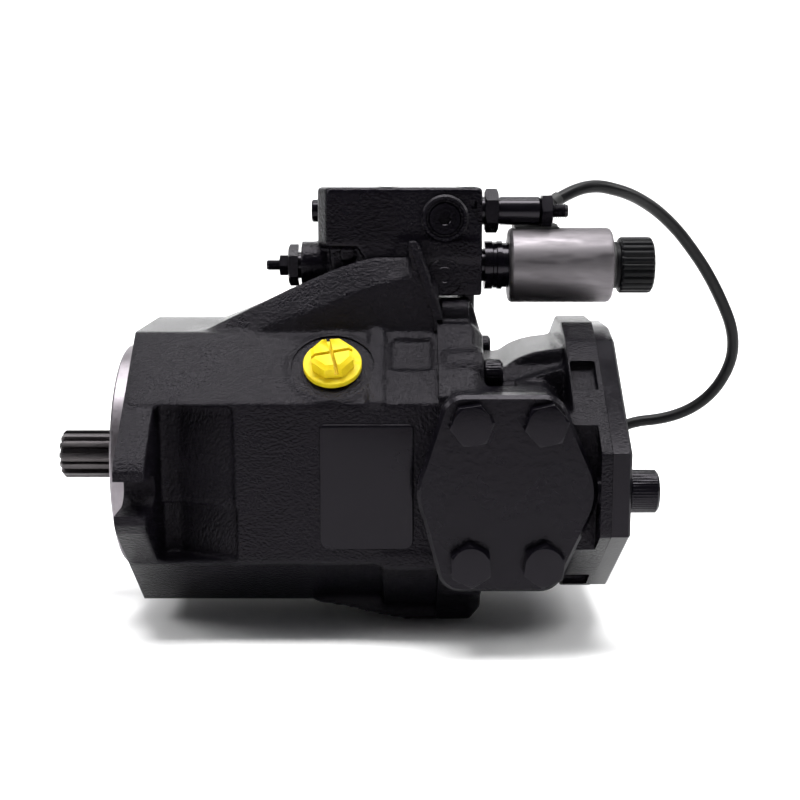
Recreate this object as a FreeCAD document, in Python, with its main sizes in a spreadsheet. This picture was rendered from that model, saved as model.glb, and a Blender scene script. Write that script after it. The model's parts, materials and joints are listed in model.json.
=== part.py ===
import FreeCAD, Part
import Sketcher
import math
import os
from types import SimpleNamespace

# Axial piston pump, 28 cm3 class, millimetres.
# Origin: centre of the mounting face on the shaft axis.
# +X runs along the shaft to the rear, +Z is up, -Y is the side with the suction port.

doc = FreeCAD.newDocument("axial_piston_pump")
sheet = doc.addObject("Spreadsheet::Sheet", "Sheet")

DIMENSIONS = {
    # mounting flange and housing
    "flange_thick": 13.0, "pilot_radius": 50.8, "pilot_length": 9.5, "ear_bolt_offset": 73.0,
    "slot_half_width": 7.15, "ear_tip": 87.0, "ear_half_height": 15.0, "ear_corner": 84.0,
    "flat_half_width": 30.0, "top_height": 61.0, "side_width": 62.0, "side_corner": 34.5,
    "housing_length": 132.0, "cavity_radius": 46.0, "cavity_start": 20.0, "bulge_depth": 70.0,
    # port plate, suction side and rear drive cover
    "joint_flange_end": 152.0, "joint_flange_top": 64.5, "joint_flange_side": 63.5,
    "rear_flange_start": 188.0, "port_plate_end": 202.0, "rear_cover_thick": 8.0,
    "rear_ear": 83.0, "rear_ear_half": 18.0, "suction_x": 160.0, "suction_radius": 15.9,
    "suction_face": 70.0, "suction_cover_thick": 8.0, "suction_pitch_x": 30.2,
    "suction_pitch_z": 58.7, "pressure_face": 70.0, "pressure_radius": 9.5,
    "pressure_pitch_x": 22.2, "pressure_pitch_z": 47.6, "pressure_tap": 4.25, "tap_depth": 17.0,
    # drive shaft and bearings
    "shaft_tip": -41.2, "spline_radius": 11.1, "journal_radius": 15.0, "shaft_core": 14.0,
    "seal_journal": 12.5, "seal_radius": 20.0, "rear_journal": 12.5, "shaft_end": 174.0,
    "front_bearing_start": 2.0, "front_bearing_width": 17.0, "front_cup_radius": 31.0,
    "rear_bearing_start": 133.0, "rear_bearing_width": 16.0, "rear_cup_radius": 23.5,
    # rotating group
    "swash_angle": 15.5, "tilt_x": 52.0, "pitch_radius": 30.0, "piston_radius": 7.7,
    "bore_radius": 7.75, "ball_radius": 6.2, "socket_radius": 6.25, "piston_length": 58.5,
    "sole_depth": 8.0, "sole_thick": 2.5, "sole_radius": 9.7, "slipper_radius": 7.6,
    "slipper_rim": 2.5, "plate_thick": 2.5, "plate_radius": 40.5, "plate_hole": 8.35,
    "guide_ball": 17.0, "guide_socket": 17.1, "block_start": 76.0, "block_end": 127.95,
    "block_radius": 42.5, "valve_plate_start": 128.0, "valve_plate_radius": 44.0,
    "swash_radius": 42.0, "swash_thick": 8.0, "cradle_radius": 30.0, "shell_thick": 2.0,
    "control_height": 57.0, "control_radius": 7.5, "bias_height": 51.0, "bias_radius": 4.0,
    # control valve
    "valve_start": 79.0, "valve_end": 154.0, "valve_half": 22.0, "valve_bottom": 75.0,
    "valve_top": 123.3, "upper_axis": 112.5, "lower_axis": 88.0, "upper_spool_radius": 4.0,
    "lower_spool_radius": 5.0, "spool_gap": 0.03,
    # solenoid
    "tube_end": 165.0, "coil_end": 211.8, "coil_radius": 16.9, "knob_start": 213.4,
    "knob_end": 230.4, "knob_radius": 12.7, "stem_radius": 7.0,
    # cable
    "cable_diameter": 6.0,
}

PISTONS = 9
ROLLERS = 18
SPLINE_TEETH = 13
FIT = 0.02          # radial gap of parts that are assembled onto each other
EPS = 1.0           # how far a cutting tool runs past the face that it opens


class Size:
    """A number together with the sheet expression that gives it."""

    def __init__(self, value, text=None):
        self.value = float(value)
        self.text = text or f"({float(value)})"

    def __add__(self, other):
        return joined(self, "+", other)

    def __radd__(self, other):
        return joined(other, "+", self)

    def __sub__(self, other):
        return joined(self, "-", other)

    def __rsub__(self, other):
        return joined(other, "-", self)

    def __mul__(self, other):
        return joined(self, "*", other)

    def __rmul__(self, other):
        return joined(other, "*", self)

    def __truediv__(self, other):
        return joined(self, "/", other)

    def __neg__(self):
        return joined(-1.0, "*", self)


def as_size(number):
    return number if isinstance(number, Size) else Size(number)


def joined(left, sign, right):
    left = as_size(left)
    right = as_size(right)
    if sign == "+":
        value = left.value + right.value
    elif sign == "-":
        value = left.value - right.value
    elif sign == "*":
        value = left.value * right.value
    else:
        value = left.value / right.value
    return Size(value, f"({left.text} {sign} {right.text})")


def sine(angle):
    return Size(math.sin(math.radians(angle.value)), f"sin({angle.text} * 1 deg)")


def cosine(angle):
    return Size(math.cos(math.radians(angle.value)), f"cos({angle.text} * 1 deg)")


def fill_sheet():
    sizes = {}
    for row, (alias, value) in enumerate(DIMENSIONS.items(), start=1):
        sheet.set(f"A{row}", alias)
        sheet.set(f"B{row}", str(value))
        sheet.setAlias(f"B{row}", alias)
        sizes[alias] = Size(value, f"Sheet.{alias}")
    doc.recompute()
    return SimpleNamespace(**sizes)


d = fill_sheet()
finished = []

AXES = {"X": (1, 0, 0), "-X": (-1, 0, 0), "Y": (0, 1, 0), "-Y": (0, -1, 0), "Z": (0, 0, 1), "-Z": (0, 0, -1)}


def turn_from(start, direction):
    target = AXES[direction] if isinstance(direction, str) else direction
    return FreeCAD.Rotation(FreeCAD.Vector(*AXES[start]), FreeCAD.Vector(*target))


def bind(item, name, size):
    size = as_size(size)
    setattr(item, name, size.value)
    if "Sheet." in size.text:
        item.setExpression(name, size.text)


def place(item, at=(0, 0, 0), rotation=None):
    spot = [as_size(value) for value in at]
    base = FreeCAD.Vector(*[size.value for size in spot])
    item.Placement = FreeCAD.Placement(base, rotation or FreeCAD.Rotation())
    for axis, size in zip("xyz", spot):
        if "Sheet." in size.text:
            item.setExpression("Placement.Base." + axis, size.text)
    return item


def label(item, name):
    item.Label = name
    finished.append(item)
    return item


# ---------------------------------------------------------------- primitives

def cylinder(radius, length, at=(0, 0, 0), along="X"):
    item = doc.addObject("Part::Cylinder", "cylinder")
    bind(item, "Radius", radius)
    bind(item, "Height", length)
    return place(item, at, turn_from("Z", along))


def cone(radius_start, radius_end, length, at=(0, 0, 0), along="X"):
    item = doc.addObject("Part::Cone", "cone")
    bind(item, "Radius1", radius_start)
    bind(item, "Radius2", radius_end)
    bind(item, "Height", length)
    return place(item, at, turn_from("Z", along))


def sphere(radius):
    item = doc.addObject("Part::Sphere", "sphere")
    bind(item, "Radius", radius)
    return place(item, (0, 0, 0), turn_from("Z", "X"))


def torus(ring_radius, wire_radius, at, along="X"):
    item = doc.addObject("Part::Torus", "ring")
    bind(item, "Radius1", ring_radius)
    bind(item, "Radius2", wire_radius)
    return place(item, at, turn_from("Z", along))


def hexagon(across_corners, length, at=(0, 0, 0), along="X"):
    item = doc.addObject("Part::Prism", "hexagon")
    item.Polygon = 6
    bind(item, "Circumradius", as_size(across_corners) / 2)
    bind(item, "Height", length)
    return place(item, at, turn_from("Z", along))


def box(low, high):
    item = doc.addObject("Part::Box", "block")
    for name, start, end in zip(("Length", "Width", "Height"), low, high):
        bind(item, name, as_size(end) - start)
    return place(item, low)


def fuse(*items):
    item = doc.addObject("Part::MultiFuse", "fuse")
    item.Shapes = list(items)
    item.Refine = True
    return item


def cut(base, *tools):
    for tool in tools:
        item = doc.addObject("Part::Cut", "cut")
        item.Base = base
        item.Tool = tool
        base = item
    return base


def common(*items):
    item = doc.addObject("Part::MultiCommon", "common")
    item.Shapes = list(items)
    return item


def group(*items):
    """Separate solids of one node, such as a set of equal screws."""
    item = doc.addObject("Part::Compound", "group")
    item.Links = list(items)
    return item


# ---------------------------------------------------------------- sketched bodies

def outline(body, role, points):
    """A closed outline of straight lines whose corners are bound to the sheet."""
    plane = next(item for item in body.Origin.OriginFeatures if item.Role == role)
    sketch = body.newObject("Sketcher::SketchObject", "outline")
    sketch.AttachmentSupport = (plane, [""])
    sketch.MapMode = "FlatFace"
    corners = [(as_size(x), as_size(y)) for x, y in points]
    spots = [FreeCAD.Vector(x.value, y.value, 0) for x, y in corners]
    count = len(spots)
    for index in range(count):
        sketch.addGeometry(Part.LineSegment(spots[index], spots[(index + 1) % count]), False)
    for index in range(count):
        sketch.addConstraint(Sketcher.Constraint("Coincident", index, 2, (index + 1) % count, 1))
    for index, corner in enumerate(corners):
        for kind, size in zip(("DistanceX", "DistanceY"), corner):
            number = sketch.addConstraint(Sketcher.Constraint(kind, -1, 1, index, 1, size.value))
            if "Sheet." in size.text:
                sketch.setExpression(f"Constraints[{number}]", size.text)
    return sketch


def turned(profile, at=(0, 0, 0), along="X"):
    """A body of revolution: profile points are (distance along the axis, radius)."""
    body = doc.addObject("PartDesign::Body", "turned")
    sketch = outline(body, "XZ_Plane", profile)
    revolution = body.newObject("PartDesign::Revolution", "revolution")
    revolution.Profile = sketch
    revolution.ReferenceAxis = (sketch, ["H_Axis"])
    revolution.Angle = 360.0
    return place(body, at, turn_from("X", along))


def slab_x(points, start, length):
    """An outline of (Y, Z) points padded along +X from start."""
    body = doc.addObject("PartDesign::Body", "slab")
    pad = body.newObject("PartDesign::Pad", "pad")
    pad.Profile = outline(body, "YZ_Plane", points)
    bind(pad, "Length", length)
    body.Tip = pad
    return place(body, (start, 0, 0))


def slab_y(points, start, length):
    """An outline of (X, Z) points padded towards -Y from start."""
    body = doc.addObject("PartDesign::Body", "slab")
    pad = body.newObject("PartDesign::Pad", "pad")
    pad.Profile = outline(body, "XZ_Plane", points)
    bind(pad, "Length", length)
    body.Tip = pad
    return place(body, (0, start, 0))


def mirrored_outline(half):
    """Both halves of an outline that is given for +Y, from top to bottom."""
    return half + [(-as_size(y), z) for y, z in reversed(half)]


def rounded(base, radius, choose):
    """Rounds the edges that choose(edge) picks on a finished shape."""
    doc.recompute()
    numbers = [n for n, edge in enumerate(base.Shape.Edges, start=1) if choose(edge)]
    item = doc.addObject("Part::Fillet", "rounded")
    item.Base = base
    item.Edges = [(n, radius, radius) for n in numbers]
    return item


def ring_place(radius, index, count):
    """(Y, Z) of station index on a circle, counted from the top in the sense of +X rotation."""
    angle = 2 * math.pi * index / count
    return -as_size(radius) * math.sin(angle), as_size(radius) * math.cos(angle)


def is_parallel(edge, direction):
    if edge.Curve.TypeId != "Part::GeomLine":
        return False
    return abs(edge.Curve.Direction.dot(FreeCAD.Vector(*AXES[direction]))) > 0.999


# ---------------------------------------------------------------- fasteners

def socket_screw(thread_radius, head_radius, head_length, shank_length, at, along):
    """Cap screw: at is the seat under the head, along points out of the head."""
    shank = cylinder(thread_radius, shank_length, (-as_size(shank_length), 0, 0))
    head = cylinder(head_radius, head_length)
    hexagon_depth = head_length * 0.55
    socket = hexagon(thread_radius * 1.9, hexagon_depth + EPS, (head_length - hexagon_depth, 0, 0))
    return place(cut(fuse(shank, head), socket), at, turn_from("X", along))


def hex_bolt(thread_radius, across_flats, head_length, shank_length, at, along):
    shank = cylinder(thread_radius, shank_length, (-as_size(shank_length), 0, 0))
    corners = across_flats / math.cos(math.radians(30))
    head = hexagon(corners, head_length)
    crown = turned([(0, 0), (0, corners), (head_length * 0.72, corners), (head_length, across_flats * 0.46),
                    (head_length, 0)])
    return place(fuse(common(head, crown), shank), at, turn_from("X", along))


def socket_plug(radius, flange_radius, flange_thick, depth, at, along):
    """Threaded plug with a flange and a hexagon socket."""
    stem = cylinder(radius, depth, (-as_size(depth), 0, 0))
    flange = cylinder(flange_radius, flange_thick)
    socket = hexagon(radius * 1.05, flange_thick + 4.0, (-3.0, 0, 0))
    return place(cut(fuse(stem, flange), socket), at, turn_from("X", along))


def coil_spring(turns, height, coil_radius, wire_radius, at, along="X", thick=0.0):
    """Spring of round wire, or of flat wire when a thickness along the spring is given."""
    path = Part.makeHelix(height / turns, height, coil_radius)
    start = path.Edges[0].valueAt(path.Edges[0].FirstParameter)
    tangent = path.Edges[0].tangentAt(path.Edges[0].FirstParameter)
    section = Part.Wire([Part.Circle(start, tangent, wire_radius).toShape()])
    if thick:
        corners = [(-wire_radius, -thick / 2), (wire_radius, -thick / 2), (wire_radius, thick / 2),
                   (-wire_radius, thick / 2), (-wire_radius, -thick / 2)]
        section = Part.makePolygon([start + FreeCAD.Vector(across, 0, high) for across, high in corners])
    item = doc.addObject("Part::Feature", "spring")
    item.Shape = Part.Wire(path.Edges).makePipeShell([section], True, True)
    return place(item, at, turn_from("Z", along))


# ---------------------------------------------------------------- housing

DIAGONAL = math.hypot(26.5, 32.0)
DRAIN_NORMAL = (0, -26.5 / DIAGONAL, 32.0 / DIAGONAL)
DRAIN_SPOT = (87.0, -46.0, 47.75)
FAR_DRAIN_NORMAL = (0, 26.5 / DIAGONAL, 32.0 / DIAGONAL)
FAR_DRAIN_SPOT = (87.0, 46.0, 47.75)
HOUSING_SCREW_SPOTS = [(41.0, 44.0), (-41.0, 44.0), (41.0, -44.0), (-41.0, -44.0)]


def offset_point(spot, normal, distance):
    return tuple(p + n * distance for p, n in zip(spot, normal))


def flange_slots(start, length):
    tools = []
    for side in (-1, 1):
        centre = d.ear_bolt_offset * side
        tools.append(cylinder(d.slot_half_width, as_size(length) + 2 * EPS, (as_size(start) - EPS, centre, 0)))
        reach = 20.0
        low_y = centre if side > 0 else centre - reach
        tools.append(box((as_size(start) - EPS, low_y, -d.slot_half_width),
                         (as_size(start) + length + EPS, low_y + reach, d.slot_half_width)))
    return tools


def housing_body():
    half = [(d.flat_half_width, d.top_height), (d.ear_corner, d.ear_half_height), (d.ear_tip, 11.0),
            (d.ear_tip, -11.0), (d.ear_corner, -d.ear_half_height), (d.flat_half_width, -d.top_height)]
    flange = cut(slab_x(mirrored_outline(half), 0, d.flange_thick), *flange_slots(0, d.flange_thick))
    half = [(d.flat_half_width, d.top_height), (d.side_width, d.side_corner),
            (d.side_width, -d.side_corner), (d.flat_half_width, -d.top_height)]
    case = slab_x(mirrored_outline(half), 0, d.housing_length)
    pilot = turned([(-d.pilot_length, 0), (-d.pilot_length, d.pilot_radius - 1.0),
                    (-d.pilot_length + 1.0, d.pilot_radius), (EPS, d.pilot_radius), (EPS, 0)])
    bulge = slab_y([(78.0, -60.0), (d.housing_length, -60.0), (d.housing_length, -d.bulge_depth),
                    (120.0, -d.bulge_depth), (98.0, -64.5), (78.0, -61.0)], 34.0, 68.0)
    return fuse(flange, case, pilot, bulge, *housing_tower(), *housing_bosses())


def housing_tower():
    """Wedge over the control piston, seat of the control valve, and the rib beside the valve."""
    wedge = slab_y([(28.0, 60.0), (66.0, 75.0), (d.housing_length, 75.0), (d.housing_length, 60.0)], 29.0, 58.0)
    rib = slab_y([(28.0, 60.0), (70.0, 80.8), (88.0, 88.6), (98.0, 92.0), (106.0, 93.6), (120.6, 93.6),
                  (d.housing_length, 60.0)], -22.6, 7.4)
    rim = slab_y([(118.3, 100.0), (124.3, 100.0), (136.0, 65.2), (d.housing_length, 65.2),
                  (d.housing_length, 60.0), (127.0, 60.0)], -22.6, 8.6)
    return wedge, rib, rim


def housing_bosses():
    boss = cylinder(18.0, 7.0, offset_point(DRAIN_SPOT, DRAIN_NORMAL, -6.0), DRAIN_NORMAL)
    far_boss = cylinder(18.0, 7.0, offset_point(FAR_DRAIN_SPOT, FAR_DRAIN_NORMAL, -6.0), FAR_DRAIN_NORMAL)
    plate_pad = box((81.5, -62.8, -28.5), (122.0, -60.0, 26.5))
    return boss, far_boss, plate_pad


def cradle_seats():
    """Concave seats for the swash plate's bearing shells, either side of the front bearing."""
    seats = []
    for low_y in (28.0, -41.0):
        block = box((d.cavity_start - EPS, low_y, -20.0), (d.cavity_start + 8.0, low_y + 13.0, 20.0))
        seats.append(common(block, cylinder(d.cavity_radius + 0.5, 20.0, (10.0, 0, 0))))
    hollow = cylinder(d.cradle_radius + d.shell_thick, 120.0, (d.tilt_x, -60.0, 0), "Y")
    return [cut(seat, hollow) for seat in seats]


def pump_housing():
    cavity = cylinder(d.cavity_radius, d.housing_length - d.cavity_start + EPS, (d.cavity_start, 0, 0))
    lever_room = box((48.0, -8.0, 30.0), (76.0, 8.0, 62.5))
    lower_lever_room = box((d.cavity_start, -8.0, -57.0), (46.0, 8.0, -30.0))
    control_start = 58.0
    control_bore = cylinder(d.control_radius + 0.05, d.housing_length - control_start + EPS,
                            (control_start, 0, d.control_height))
    bias_bore = cylinder(6.4, d.housing_length - 40.0 + EPS, (40.0, 0, -d.bias_height))
    bearing_bore = cylinder(d.front_cup_radius, 30.0, (d.front_bearing_start, 0, 0))
    seal_bore = cylinder(d.seal_radius, 30.0, (-d.pilot_length - EPS, 0, 0))
    drain = cylinder(10.3, 40.0, offset_point(DRAIN_SPOT, DRAIN_NORMAL, -25.0), DRAIN_NORMAL)
    far_drain = cylinder(10.3, 40.0, offset_point(FAR_DRAIN_SPOT, FAR_DRAIN_NORMAL, -25.0), FAR_DRAIN_NORMAL)
    taps = [cylinder(4.0, 24.0, (d.housing_length - 23.0, y, z)) for y, z in HOUSING_SCREW_SPOTS]
    valve_taps = [cylinder(3.0, 14.0, (x, y, 62.0), "Z") for x, y in VALVE_SCREW_SPOTS if x < 130.0]
    shell = cut(housing_body(), cavity, lever_room, lower_lever_room, control_bore, bias_bore,
                bearing_bore, seal_bore, drain, far_drain, *taps, *valve_taps)
    label(fuse(shell, *cradle_seats()), "pump_housing")


def drain_port_cap():
    """Yellow plastic shipping cap with a raised cross, pushed into the drain port."""
    stem = cylinder(10.2, 9.0, (-9.0, 0, 0))
    flange = cylinder(12.7, 3.0)
    bars = [box((2.5, -10.5, -3.2), (6.0, 10.5, 3.2)), box((2.5, -3.2, -10.5), (6.0, 3.2, 10.5))]
    seat = offset_point(DRAIN_SPOT, DRAIN_NORMAL, 1.0)
    label(place(fuse(stem, flange, *bars), seat, turn_from("X", DRAIN_NORMAL)), "drain_port_cap")


# ---------------------------------------------------------------- port plate

SEAL_WIRE = 0.9
KIDNEY_INNER = 26.0
KIDNEY_OUTER = 34.0


def kidney(side, start, length):
    """Curved slot on one side of the shaft, spanning about 130 degrees."""
    ring = cut(cylinder(KIDNEY_OUTER, length, (start, 0, 0)),
               cylinder(KIDNEY_INNER, as_size(length) + 2 * EPS, (as_size(start) - EPS, 0, 0)))
    low_y = 13.0 if side > 0 else -40.0
    window = box((as_size(start) - EPS, low_y, -40.0), (as_size(start) + length + EPS, low_y + 27.0, 40.0))
    return common(ring, window)


def rear_outline(top, bottom):
    """Outline of the rear flange and its cover, lozenge shaped with one ear on each side."""
    return mirrored_outline([(13.0, top), (28.0, 57.0), (d.rear_ear, d.rear_ear_half),
                             (d.rear_ear, -17.0), (27.0, bottom)])


def port_plate_body():
    half = [(32.0, d.joint_flange_top), (d.joint_flange_side, 38.0), (d.joint_flange_side, -38.0),
            (36.0, -62.0), (34.0, -d.bulge_depth)]
    joint = slab_x(mirrored_outline(half), d.housing_length, d.joint_flange_end - d.housing_length)
    half = [(28.0, 44.0), (34.0, 37.0), (34.0, -37.0), (28.0, -52.0)]
    middle = slab_x(mirrored_outline(half), d.housing_length + EPS, 60.0)
    saddle = slab_y([(154.0, 40.0), (168.0, 48.0), (181.0, 52.5), (d.port_plate_end - EPS, 52.5),
                     (d.port_plate_end - EPS, 30.0), (154.0, 30.0)], 26.0, 52.0)
    rear = slab_x(rear_outline(63.4, -55.6), d.rear_flange_start, d.port_plate_end - d.rear_flange_start)
    suction = slab_y([(138.0, 38.0), (178.0, 38.0), (194.0, 10.0), (194.0, -10.0), (178.0, -38.0),
                      (138.0, -38.0), (125.5, -8.0), (125.5, 8.0)], -30.0, d.suction_face - 30.0)
    suction = cut(suction, box((100.0, -62.9, -60.0), (d.housing_length, 0.0, 60.0)))
    pressure = box((138.0, 30.0, -34.0), (182.0, d.pressure_face, 34.0))
    valve_seat = slab_y([(d.housing_length, 40.0), (d.joint_flange_end, 40.0), (151.5, 60.0), (148.0, 71.0),
                         (145.5, d.valve_bottom), (d.housing_length, d.valve_bottom)], 20.0, 40.0)
    cover_room = box((d.rear_flange_start - EPS, -90.0, -45.0), (197.2, -62.0, 45.0))
    return fuse(joint, middle, saddle, cut(rear, cover_room), suction, pressure, valve_seat)


def port_plate():
    bearing = cylinder(d.rear_cup_radius, d.rear_bearing_width + 2.0, (d.housing_length - EPS, 0, 0))
    drive_bore = cylinder(20.0, 60.0, (d.rear_bearing_start + d.rear_bearing_width, 0, 0))
    suction_bore = cylinder(d.suction_radius, d.suction_face - 20.0,
                            (d.suction_x, -d.suction_face - EPS, 0), "Y")
    suction_bore = cut(suction_bore, cylinder(24.0, 80.0, (d.housing_length, 0, 0)))
    pressure_bore = cylinder(d.pressure_radius, 45.0, (d.suction_x, d.pressure_face + EPS, 0), "-Y")
    suction_slot = kidney(-1, d.housing_length - EPS, 24.0)
    pressure_slot = kidney(1, d.housing_length - EPS, 24.0)
    holes = [cylinder(4.5, 30.0, (d.housing_length - EPS, y, z)) for y, z in HOUSING_SCREW_SPOTS]
    seats = [cylinder(8.5, 30.0, (d.joint_flange_end, y, z)) for y, z in HOUSING_SCREW_SPOTS]
    taps = [cylinder(5.0, 24.0, (x, -d.suction_face + 23.0, z), "-Y") for x, z in suction_bolt_spots()]
    taps += [cylinder(d.pressure_tap, d.tap_depth + EPS, (x, d.pressure_face - d.tap_depth, z), "Y")
             for x, z in pressure_bolt_spots()]
    taps += [cylinder(6.0, 24.0, (196.6, d.ear_bolt_offset * side, 0)) for side in (-1, 1)]
    taps += [cylinder(3.0, 14.0, (x, y, 62.0), "Z") for x, y in VALVE_SCREW_SPOTS if x > 130.0]
    label(cut(port_plate_body(), bearing, drive_bore, suction_bore, pressure_bore, suction_slot, pressure_slot,
              *holes, *seats, *taps, *seal_grooves()), "port_plate")


def suction_bolt_spots():
    return [(d.suction_x + d.suction_pitch_x * (i / 2), d.suction_pitch_z * (k / 2))
            for i in (-1, 1) for k in (-1, 1)]


def pressure_bolt_spots():
    return [(d.suction_x + d.pressure_pitch_x * (i / 2), d.pressure_pitch_z * (k / 2))
            for i in (-1, 1) for k in (-1, 1)]


def suction_cover():
    points = [(140.5, 41.0), (174.5, 41.0), (184.0, 34.0), (195.0, 10.0), (196.8, 0.0), (195.0, -10.0),
              (184.0, -35.0), (175.0, -42.0), (139.5, -42.0), (131.5, -32.0), (124.5, -12.0), (122.8, 0.0),
              (124.5, 11.0), (133.5, 34.0)]
    plate = slab_y(points, -d.suction_face, d.suction_cover_thick)
    face = d.suction_face + d.suction_cover_thick + EPS
    holes = [cylinder(5.0, 12.0, (x, -face, z), "Y") for x, z in suction_bolt_spots()]
    label(cut(plate, *holes), "suction_cover")
    seat = -d.suction_face - d.suction_cover_thick
    bolts = [hex_bolt(5.0, 16.0, 6.4, 24.0, (x, seat, z), "-Y") for x, z in suction_bolt_spots()]
    label(group(*bolts), "suction_cover_bolts")


def through_drive_cover():
    plate = slab_x(rear_outline(61.0, -55.0), d.port_plate_end, d.rear_cover_thick)
    holes = [cylinder(6.5, 20.0, (d.port_plate_end - EPS, d.ear_bolt_offset * side, 0)) for side in (-1, 1)]
    label(cut(plate, *holes), "through_drive_cover")
    seat = d.port_plate_end + d.rear_cover_thick
    screws = [socket_screw(6.0, 9.0, 12.0, 13.0, (seat, d.ear_bolt_offset * side, 0), "X") for side in (-1, 1)]
    label(group(*screws), "through_drive_screws")


def housing_screws():
    screws = [socket_screw(4.0, 6.5, 8.0, 40.0, (d.joint_flange_end, y, z), "X")
              for y, z in HOUSING_SCREW_SPOTS]
    label(group(*screws), "housing_screws")


def seal_places():
    """Ring radius, centre and inward direction of the O-rings in the port plate's three faces."""
    return [(49.0, (d.housing_length, 0, 0), "X"), (19.5, (d.suction_x, -d.suction_face, 0), "Y"),
            (24.0, (d.port_plate_end, 0, 0), "-X")]


def inward(at, along, distance):
    return tuple(as_size(value) + AXES[along][axis] * distance for axis, value in enumerate(at))


def seal_grooves():
    grooves = []
    for radius, at, along in seal_places():
        start = inward(at, along, -EPS)
        depth = 2 * SEAL_WIRE + EPS
        grooves.append(cut(cylinder(radius + SEAL_WIRE + 0.1, depth, start, along),
                           cylinder(radius - SEAL_WIRE - 0.1, depth, start, along)))
    return grooves


def static_seal_rings():
    """O-rings of the housing joint, the suction cover and the rear cover, lying in their grooves."""
    rings = [torus(radius, SEAL_WIRE, inward(at, along, SEAL_WIRE), along)
             for radius, at, along in seal_places()]
    label(group(*rings), "static_seal_rings")


# ---------------------------------------------------------------- shaft and bearings

def drive_shaft():
    tip = d.shaft_tip
    bearing_end = d.front_bearing_start + d.front_bearing_width
    body = turned([(tip, 0), (tip, d.spline_radius - 1.2), (tip + 1.2, d.spline_radius),
                   (-11.5, d.spline_radius), (-11.0, d.seal_journal), (0.5, d.seal_journal), (0.5, d.journal_radius),
                   (bearing_end, d.journal_radius), (bearing_end, 17.0), (22.0, 17.0), (22.0, d.shaft_core),
                   (d.valve_plate_start, d.shaft_core), (d.valve_plate_start, d.rear_journal),
                   (150.0, d.rear_journal), (150.0, 10.5), (d.shaft_end - 1.0, 10.5), (d.shaft_end, 9.5),
                   (d.shaft_end, 0)])
    grooves = []
    for tooth in range(SPLINE_TEETH):
        y, z = ring_place(d.spline_radius + 0.1, tooth, SPLINE_TEETH)
        grooves.append(cylinder(1.3, 30.0, (tip - EPS, y, z)))
    label(cut(body, fuse(*grooves)), "drive_shaft")


def tapered_bearing(name, start, width, cup_radius, bore_radius, track):
    """Makes the cup and cone and returns the rollers.

    track: cup radius at the front and back, then cone radius at the front and back.
    """
    cup_front, cup_back, cone_front, cone_back = track
    margin = 2.0
    cup = turned([(0, cup_front), (0, cup_radius), (width, cup_radius), (width, cup_back)], (start, 0, 0))
    label(cup, f"{name}_bearing_cup")
    inner = turned([(0, bore_radius), (0, cone_front), (width, cone_back), (width, bore_radius)], (start, 0, 0))
    label(inner, f"{name}_bearing_cone")
    reach = as_size(width) - 2 * margin
    share = margin / as_size(width).value
    front_mid = (cup_front + cone_front) / 2
    back_mid = (cup_back + cone_back) / 2
    lean = (back_mid - front_mid) / as_size(width).value
    front_gap = (cup_front - cone_front) * (1 - share) + (cup_back - cone_back) * share
    back_gap = (cup_front - cone_front) * share + (cup_back - cone_back) * (1 - share)
    gap = 0.12
    rollers = []
    for index in range(ROLLERS):
        angle = 2 * math.pi * index / ROLLERS
        outward = (0, -math.sin(angle), math.cos(angle))
        radius = front_mid + lean * margin
        spot = (as_size(start) + margin, outward[1] * radius, outward[2] * radius)
        direction = (1.0, outward[1] * lean, outward[2] * lean)
        rollers.append(cone(front_gap / 2 - gap, back_gap / 2 - gap, reach, spot, direction))
    return rollers


def bearings():
    front = tapered_bearing("front", d.front_bearing_start, d.front_bearing_width, d.front_cup_radius,
                            d.journal_radius, (26.4, 24.4, 21.2, 20.0))
    rear = tapered_bearing("rear", d.rear_bearing_start, d.rear_bearing_width, d.rear_cup_radius,
                           d.rear_journal, (19.0, 20.6, 15.2, 16.2))
    label(group(*front, *rear), "bearing_rollers")


def shaft_seal():
    profile = [(-8.5, 12.7), (-8.5, d.seal_radius), (-1.0, d.seal_radius), (-1.0, 18.0), (-7.0, 18.0),
               (-7.0, 14.5), (-3.5, 13.2), (-3.5, 12.7)]
    label(turned(profile), "shaft_seal")


# ---------------------------------------------------------------- rotating group

SIN_SWASH = sine(d.swash_angle)
COS_SWASH = cosine(d.swash_angle)
SWASH_TURN = FreeCAD.Rotation(FreeCAD.Vector(0, 1, 0), d.swash_angle.value)
LONG_RADIUS = d.pitch_radius / COS_SWASH
MEAN_RADIUS = (LONG_RADIUS + d.pitch_radius) / 2


def ball_centre(index):
    """Centre of a piston's ball: on the ellipse where the tilted plane cuts the pitch cylinder."""
    angle = 2 * math.pi * index / PISTONS
    x = d.tilt_x + d.pitch_radius * (SIN_SWASH / COS_SWASH) * math.cos(angle)
    return x, -d.pitch_radius * math.sin(angle), d.pitch_radius * math.cos(angle)


def cylinder_block():
    start = d.block_start
    body = turned([(start, 21.0), (start, d.block_radius - 1.5), (start + 1.5, d.block_radius),
                   (d.block_end, d.block_radius), (d.block_end, d.shaft_core + FIT), (98.0, d.shaft_core + FIT),
                   (98.0, 21.0)])
    bores = []
    for index in range(PISTONS):
        y, z = ring_place(d.pitch_radius, index, PISTONS)
        bores.append(cylinder(d.bore_radius, 120.5 - start + EPS, (start - EPS, y, z)))
        bores.append(cylinder(3.9, 12.0, (119.0, y, z)))
    label(cut(body, *bores), "cylinder_block")


def piston(index):
    length = d.piston_length
    body = turned([(9.0, 0), (9.0, 6.9), (10.0, d.piston_radius), (length - 0.8, d.piston_radius),
                   (length, d.piston_radius - 0.8), (length, 4.6), (22.0, 4.6), (20.0, 0)])
    neck = cylinder(3.9, 6.0, (4.0, 0, 0))
    label(place(fuse(sphere(d.ball_radius), neck, body), ball_centre(index)), f"piston_{index + 1}")


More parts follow.
